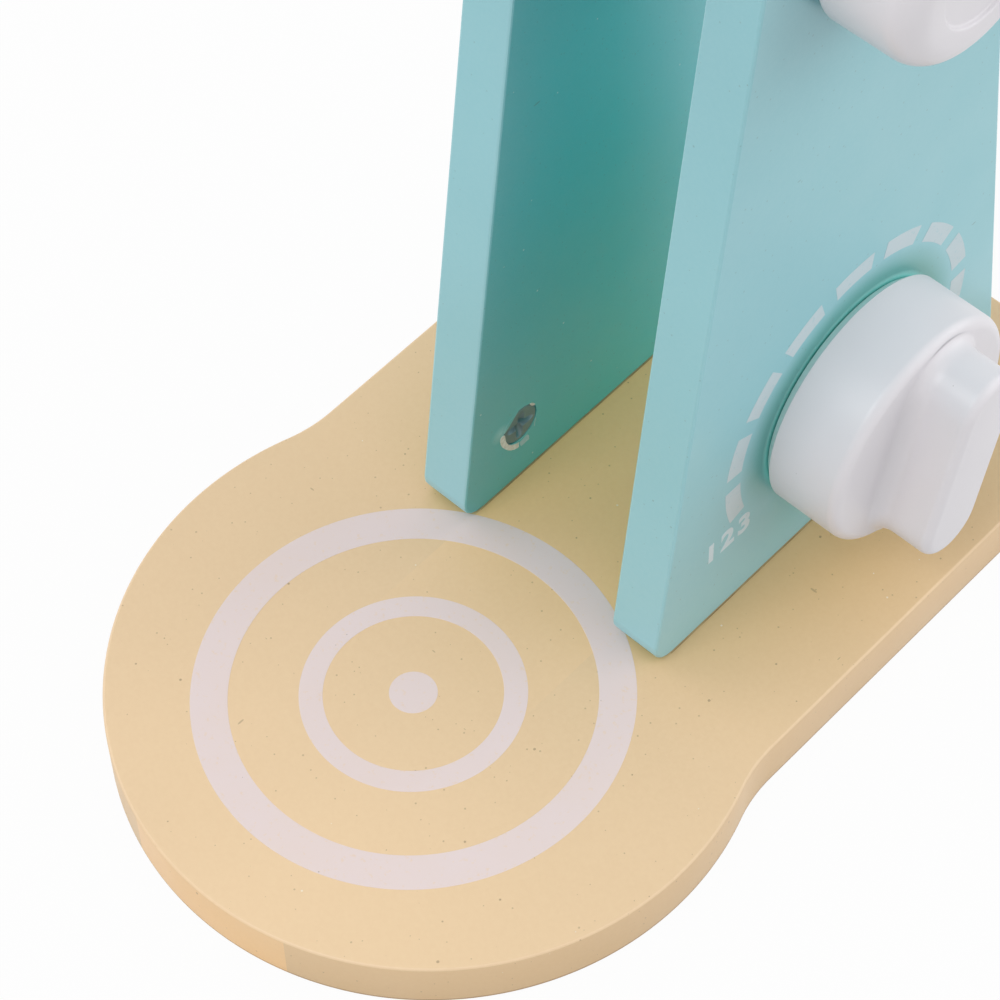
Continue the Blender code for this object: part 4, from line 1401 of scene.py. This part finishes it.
@dataclass
class Head:
    """The head block, its pivot and the bushes of the whisk."""

    pivot: Pair = (0.105, 0.220)
    knob_radius: float = 0.0250
    knob_length: float = 0.0240
    knob_back_round: float = 0.0025
    knob_front_round: float = 0.0070
    dish_radius: float = 0.0140
    dish_depth: float = 0.0012
    socket_radius: float = 0.0063
    socket_depth: float = 0.0160
    screw_head_radius: float = 0.0034
    screw_head_drop: float = 0.0017
    screw_rim: float = 0.0002
    screw_tip: float = 0.0004

    def build(self) -> None:
        """Dress the head and make its knobs and screw."""
        dress(mint_paint("mint_head_paint"), ["head_block"])
        dress(Beech("beech_pivot", Axis.X).material(), ["pivot_dowel"])
        dress(Nylon("bush_nylon").material(), ["upper_bush", "lower_bush"])
        white = KnobPaint("pivot_knob_paint", WHITE).material()
        for side in Side:
            self.knob(side, white)
        self.screw()

    def knob(self, side: Side, white: Material) -> None:
        """Turn one pivot knob.

        Args:
            side: The side that it is on.
            white: The finish.
        """
        node = side.name.lower() + "_pivot_knob"
        low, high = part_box(node)
        foot = high.x if side is Side.LEFT else low.x
        top, back, front = self.knob_length, self.knob_back_round, self.knob_front_round
        lip = self.dish_depth
        points = [(0, self.socket_depth), (self.socket_radius, self.socket_depth), (self.socket_radius, 0)]
        points += Profile.corner((self.knob_radius - back, back), back, -90, 0)
        points += Profile.corner((self.knob_radius - front, top - front), front, 0, 90, 14)
        points += Profile.corner((self.dish_radius + lip / 2, top - lip / 2), lip / 2, 90, 180, 4)
        points += Profile.corner((self.dish_radius - lip / 2, top - lip / 2), lip / 2, 0, -90, 4)[1:]
        points.append((0, top - lip))
        place = Matrix.Translation((foot, *self.pivot)) @ Matrix.Rotation(side.value * math.pi / 2, 4, "Y")
        knob = Maker.turned(points, 128)
        Maker(Body.HEAD, place).piece(node + "_turned", knob, white, [node])

    def screw(self) -> None:
        """Make the lock screw with a cross recess in its head."""
        node = "head_lock_screw"
        low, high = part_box(node)
        middle = (low + high) / 2
        place = Matrix.Translation((middle.x, middle.y, low.z)) @ Matrix.Rotation(math.pi, 4, "X")
        length = high.z - low.z
        head = self.screw_head_radius
        shank = head / 2
        outline = [(self.screw_tip, -length), (shank, -length + 2 * shank), (shank, -self.screw_head_drop),
                   (head, -self.screw_rim), (head - self.screw_rim, 0.0)]
        cross = CamLock(node, Side.RIGHT, 0.0, recess_reach=0.0021, recess_throat=0.0006,
                        recess_depth=0.0014, segments=72)
        rings = [Profile.circle(far, height, cross.segments) for far, height in outline]
        steel = Metal("screw_steel", (0.60, 0.60, 0.58), (0.42, 0.42, 0.40), 0.30, Axis.Z).material()
        Maker(Body.HEAD, place).piece(node + "_driven", Maker.lofted(rings + cross.recess(0)), steel,
                                      [node], 30.0)


# Whisk

@dataclass
class Whisk:
    """The spindle, its turning knob, the handle and the balloon of wires."""

    axis_place: Point = (0.0, 0.105, 0.325)
    knob_foot: float = 0.0366
    knob_height: float = 0.0240
    knob_radius: float = 0.0180
    knob_waist: float = 0.0110
    knob_round: float = 0.0040
    knob_foot_round: float = 0.0008
    flute_depth: float = 0.0012
    flutes: int = 6
    socket_radius: float = 0.0033
    socket_depth: float = 0.0150
    handle_top: float = -0.0306
    handle_length: float = 0.0320
    handle_top_radius: float = 0.0110
    handle_waist: float = 0.0075
    handle_end_radius: float = 0.0100
    handle_round: float = 0.0015
    groove_inset: float = 0.0052
    groove_depth: float = 0.0004
    wire_radius: float = 0.0012
    wire_circle: float = 0.0062
    wire_socket: float = 0.0070
    length: float = 0.110
    radius: float = 0.026
    stagger: float = 0.0029
    loops: int = 4
    swell_power: float = 1.5

    def build(self) -> None:
        """Make and dress every piece that turns with the whisk."""
        maker = Maker(Body.WHISK, Matrix.Translation(self.axis_place) @ Matrix.Rotation(-math.pi / 2, 4, "X"))
        steel = Metal("spindle_steel", (0.66, 0.66, 0.64), (0.50, 0.50, 0.48), 0.22).material()
        dress(steel, ["whisk_spindle", "turning_knob_pin", "whisk_handle_pin"])
        white = KnobPaint("turning_knob_paint", WHITE, Axis.Y).material()
        maker.piece("turning_knob_fluted", self.turning_knob(), white, ["turning_knob"])
        beech = Beech("beech_handle", Axis.Y).material()
        maker.piece("whisk_handle_turned", self.handle(), beech, ["whisk_handle"])
        for order in range(self.loops):
            wire = Metal("wire_steel_%d" % (order + 1), (0.70, 0.70, 0.69), (0.56, 0.56, 0.55), 0.20)
            node = "whisk_loop_%d" % (order + 1)
            maker.piece(node + "_wire", self.loop(order), wire.material(), [node])

    def turning_knob(self) -> Form:
        """Turn the knob and cut its finger flutes.

        Returns:
            The closed form.
        """
        low = self.knob_foot
        high = low + self.knob_height
        size = self.knob_round
        soft = self.knob_foot_round
        waist_top = low + self.knob_height / 2
        widening = self.knob_radius - self.knob_waist
        points = [(0, low + self.socket_depth), (self.socket_radius, low + self.socket_depth),
                  (self.socket_radius, low)]
        points += Profile.corner((self.knob_waist - soft, low + soft), soft, -90, 0, 4)
        points += [(self.knob_waist + widening * fall, waist_top - size + size * rise)
                   for fall, rise in Profile.quarter(12)]
        points += Profile.corner((self.knob_radius - size, high - size), size, 0, 90, 14)
        points.append((0, high))

        def flute(radius: float, angle: float) -> float:
            """Pull the rim in between the fingers."""
            share = max(0.0, (radius - self.knob_waist) / widening)
            return radius - self.flute_depth * share * (1 - math.cos(self.flutes * angle)) / 2

        return Maker.turned(points, 144, flute)

    def handle(self) -> Form:
        """Turn the grip with two grooves, one below its shoulder and one above its end.

        Returns:
            The closed form.
        """
        top = self.handle_top
        low = top - self.handle_length
        middle = (top + low) / 2
        size = self.handle_round
        points = [(0, top - self.socket_depth), (self.socket_radius, top - self.socket_depth),
                  (self.socket_radius, top)]
        points += Profile.corner((self.handle_top_radius - size, top - size), size, 90, 0, 6)
        points += Profile.ease((self.handle_top_radius, top - 2 * size), (self.handle_waist, middle))
        points += Profile.ease((self.handle_waist, middle), (self.handle_end_radius, low + 2 * size))[1:]
        points += Profile.corner((self.handle_end_radius - size, low + size), size, 0, -90, 6)
        points.append((0, low))
        return Maker.turned(self.grooved(points, (top - self.groove_inset, low + self.groove_inset)))

    def grooved(self, points: list[Pair], heights: Sequence[float]) -> list[Pair]:
        """Cut narrow grooves into a turned profile.

        Args:
            points: The profile.
            heights: Middle of each groove.

        Returns:
            The profile with the grooves.
        """
        deep = self.groove_depth
        result = []
        for first, last in zip(points, points[1:]):
            result.append(first)
            for height in heights:
                if first[0] > self.socket_radius and first[1] > height >= last[1]:
                    share = (first[1] - height) / (first[1] - last[1])
                    radius = first[0] + (last[0] - first[0]) * share
                    result += [(radius, height + deep), (radius - deep, height), (radius, height - deep)]
        result.append(points[-1])
        return result

    def swell(self, angle: float) -> float:
        """Give how far a wire bulges, as a share of its scale."""
        return math.sin(angle) * abs(math.sin(angle / 2)) ** self.swell_power

    def loop(self, order: int) -> Form:
        """Bend one wire.

        Args:
            order: Which wire it is, from the outermost at the tip.

        Returns:
            The closed form.
        """
        steps = [math.tau * step / 120 for step in range(121)]
        room = self.radius - self.wire_radius
        scale = min((room - self.wire_circle * math.cos(angle / 2)) / self.swell(angle)
                    for angle in steps[1:60])
        length = self.length - order * self.stagger
        start = self.handle_top - self.handle_length
        turn = math.pi * order / self.loops
        course = [(self.wire_circle, start + self.wire_socket)]
        for angle in steps:
            off = self.wire_circle * math.cos(angle / 2) + scale * self.swell(angle)
            course.append((off, start - length * (1 - math.cos(angle)) / 2))
        course.append((-self.wire_circle, start + self.wire_socket))
        points = [Vector((off * math.cos(turn), off * math.sin(turn), height)) for off, height in course]
        return Maker.tube(points, self.wire_radius)


# Dial

@dataclass
class Dial:
    """The round dial with a bar grip on the right panel."""

    rest_turn: float = math.radians(-15.2)
    radius: float = 0.0304
    back_gap: float = 0.0004
    back_chamfer: float = 0.0020
    face_height: float = 0.0217
    face_round: float = 0.0028
    grip_half_length: float = 0.0270
    grip_half_width: float = 0.0095
    grip_height: float = 0.0150
    side_cove: float = 0.0045
    end_cove: float = 0.0020
    top_round: float = 0.0025
    hollow_radius: float = 0.0133
    seat: float = 0.0012
    insert_radius: float = 0.0039
    insert_depth: float = 0.0138
    segments: int = 192

    def build(self) -> None:
        """Make the dial and dress its insert and bolt."""
        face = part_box("right_side_panel")[1].x
        place = (Matrix.Translation((face, *DIAL_CENTRE)) @ Matrix.Rotation(self.rest_turn, 4, "X")
                 @ Matrix.Rotation(math.pi / 2, 4, "Y"))
        # Below this height the dial takes the painted reflection of the panel.
        foot = face + self.back_gap + self.back_chamfer
        white = KnobPaint("dial_paint", WHITE, foot_x=foot).material()
        Maker(Body.DIAL, place).piece("dial_knob_shaped", Maker.lofted(self.rings()), white,
                                      ["dial_knob"], 30.0)
        brass = Metal("insert_brass", (0.72, 0.52, 0.24), (0.55, 0.38, 0.16), 0.30, Axis.X)
        dress(brass.material(), ["dial_insert"])
        steel = Metal("dial_bolt_steel", (0.62, 0.62, 0.60), (0.46, 0.46, 0.44), 0.28, Axis.X)
        dress(steel.material(), ["dial_bolt"])

    def ring(self, height: float, half_length: float, half_width: float) -> list[Point]:
        """Run round a bar with round ends; equal halves make it a circle.

        Args:
            height: Height of the ring.
            half_length: Half its length.
            half_width: Half its width.

        Returns:
            The ring's points.
        """
        points = []
        straight = half_length - half_width
        for index in range(self.segments):
            angle = math.tau * index / self.segments
            along, across = abs(math.cos(angle)), abs(math.sin(angle))
            if across > 1e-9 and half_width * along / across <= straight:
                far = half_width / across
            else:
                far = straight * along + math.sqrt(half_width ** 2 - (straight * across) ** 2)
            points.append((far * math.cos(angle), far * math.sin(angle), height))
        return points

    def rings(self) -> list[list[Point]]:
        """List the dial's rings from its socket round the rim to the top of the grip.

        Returns:
            The rings in order.
        """
        back = self.radius - self.back_chamfer
        shoulder = self.back_gap + self.back_chamfer
        outline = [(self.insert_depth, self.insert_radius), (self.seat, self.insert_radius),
                   (self.seat, self.hollow_radius), (self.back_gap, self.hollow_radius),
                   (self.back_gap, back), (shoulder, self.radius)]
        outline += [(self.face_height - self.face_round * (1 - rise), self.radius - self.face_round * fall)
                    for fall, rise in Profile.quarter(12)]
        rings = [self.ring(height, far, far) for height, far in outline]
        for fall, rise in Profile.quarter(14):
            rings.append(self.ring(self.face_height + self.side_cove * fall,
                                   self.grip_half_length + self.end_cove * (1 - rise),
                                   self.grip_half_width + self.side_cove * (1 - rise)))
        top = self.face_height + self.grip_height
        for fall, rise in Profile.quarter(8):
            inset = self.top_round * fall
            rings.append(self.ring(top - self.top_round * (1 - rise), self.grip_half_length - inset,
                                   self.grip_half_width - inset))
        return rings


# Studio

@dataclass
class Studio:
    """A pale floor, soft light all round and the camera."""

    floor_size: float = 6.0
    floor_colour: Colour = (0.60, 0.60, 0.60)
    floor_glow: float = 0.96
    sky_strength: float = 0.715
    lamps: tuple[tuple[str, Point, float, float], ...] = (
        ("key_lamp", (0.0, -0.90, 1.45), 0.9, 9.0), ("rear_lamp", (1.15, 1.25, 0.85), 1.8, 10.4),
        ("low_lamp", (0.45, 1.6, 0.45), 0.9, 2.6), ("left_lamp", (-1.5, -0.3, 0.8), 1.2, 6.0))
    lamp_aim: Point = (0.0, 0.06, 0.12)
    camera_place: Point = (0.32042, -0.29869, 0.71996)
    camera_right: Point = (0.73266, 0.68041, -0.01615)
    camera_down: Point = (0.5516, -0.60752, -0.57154)
    camera_ahead: Point = (-0.39869, 0.40983, -0.82042)
    lens: float = 128.34

    def build(self) -> None:
        """Set up floor, sky, lamps and camera."""
        self.floor()
        self.sky()
        for name, place, size, power in self.lamps:
            self.lamp(name, place, size, power)
        self.camera()
        bpy.context.scene.view_settings.view_transform = "Standard"

    def floor(self) -> None:
        """Lay a pale floor that shows white to the camera and keeps a soft shadow."""
        half = self.floor_size / 2
        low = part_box("base_board")[0].z
        corners = ((-half, -half, low), (half, -half, low), (half, half, low), (-half, half, low))
        mesh = bpy.data.meshes.new("studio_floor")
        mesh.from_pydata(corners, [], [(0, 1, 2, 3)])
        graph = Graph("studio_floor_paint")
        graph.colour = self.floor_colour
        graph.finish(0.9, Specular_IOR_Level=0.0)
        white = graph.add("ShaderNodeEmission")
        graph.feed(white.inputs["Color"], PURE_WHITE)
        rays = graph.add("ShaderNodeLightPath").outputs
        seen = graph.maths("MAXIMUM", rays["Is Camera Ray"], rays["Is Glossy Ray"])
        mix = graph.add("ShaderNodeMixShader")
        for socket, value in zip(mix.inputs, (graph.times(seen, self.floor_glow), graph.shader.outputs[0],
                                              white.outputs[0])):
            graph.feed(socket, value)
        graph.feed(graph.output.inputs["Surface"], mix.outputs[0])
        mesh.materials.append(graph.material)
        stand("studio_floor", mesh)

    def sky(self) -> None:
        """Light everything evenly and show white behind the object."""
        world = bpy.data.worlds.new("studio_sky")
        world.use_nodes = True
        tree = world.node_tree
        tree.nodes.clear()
        output = tree.nodes.new("ShaderNodeOutputWorld")
        mix = tree.nodes.new("ShaderNodeMixShader")
        rays = tree.nodes.new("ShaderNodeLightPath")
        tree.links.new(rays.outputs["Is Camera Ray"], mix.inputs[0])
        for index, strength in ((1, self.sky_strength), (2, 1.0)):
            light = tree.nodes.new("ShaderNodeBackground")
            light.inputs["Color"].default_value = (*PURE_WHITE, 1.0)
            light.inputs["Strength"].default_value = strength
            tree.links.new(light.outputs[0], mix.inputs[index])
        tree.links.new(mix.outputs[0], output.inputs["Surface"])
        bpy.context.scene.world = world

    def lamp(self, name: str, place: Point, size: float, power: float) -> None:
        """Hang one large soft lamp that points at the column.

        Args:
            name: Name of the lamp.
            place: Where it hangs.
            size: Width of its square face.
            power: Its power in watts.
        """
        data = bpy.data.lights.new(name, "AREA")
        data.shape = "SQUARE"
        data.size = size
        data.energy = power
        lamp = stand(name, data)
        lamp.location = place
        aim = Vector(self.lamp_aim) - Vector(place)
        lamp.rotation_euler = aim.to_track_quat("-Z", "Y").to_euler()

    def camera(self) -> None:
        """Stand the camera where the photo was taken from."""
        data = bpy.data.cameras.new("photo_camera")
        data.sensor_width = 36.0
        data.lens = self.lens
        data.clip_start = 0.01
        camera = stand("photo_camera", data)
        columns = (Vector(self.camera_right), -Vector(self.camera_down), -Vector(self.camera_ahead))
        turn = Matrix([[column[row] for column in columns] for row in range(3)])
        camera.matrix_world = Matrix.Translation(self.camera_place) @ turn.to_4x4()
        bpy.context.scene.camera = camera


def set_cam_locks() -> None:
    """Set the four cam locks in the panels, each with the torn paint turned another way."""
    # The zinc is tinted teal as a painted reflection of the mint panels round it.
    zinc = Metal("cast_zinc", (0.25, 0.36, 0.38), (0.18, 0.26, 0.28), 0.52, Axis.X, 500.0, 0.00002, 0.55)
    metal = zinc.material()
    primer = Clouded("bare_primer", (0.88, 0.82, 0.74), (0.74, 0.66, 0.56)).material()
    thin = Clouded("thin_paint", (0.50, 0.66, 0.64), (0.42, 0.60, 0.60)).material()
    paint = bpy.data.materials["mint_panel_paint"]
    holes = [(side, end) for side in Side for end in ("front", "rear")]
    for number, (side, end) in enumerate(holes):
        node = "%s_%s_cam_lock" % (side.name.lower(), end)
        CamLock(node, side, CAM_TURNS[side]).build(metal)
        BrokenPaint(node, side, math.radians(TEAR_PITCH * number)).build(primer, thin, paint)


def write_sizes() -> None:
    """Log a fixed line; no sizes are measured or written."""
    log.info("sizes written")


def main() -> None:
    """Build the studio and every sub-assembly."""
    logging.basicConfig(level=logging.INFO, format="%(name)s: %(message)s")
    Studio().build()
    Base().build()
    Column().build()
    set_cam_locks()
    Head().build()
    Whisk().build()
    Dial().build()
    write_sizes()


if __name__ == "__main__":
    main()
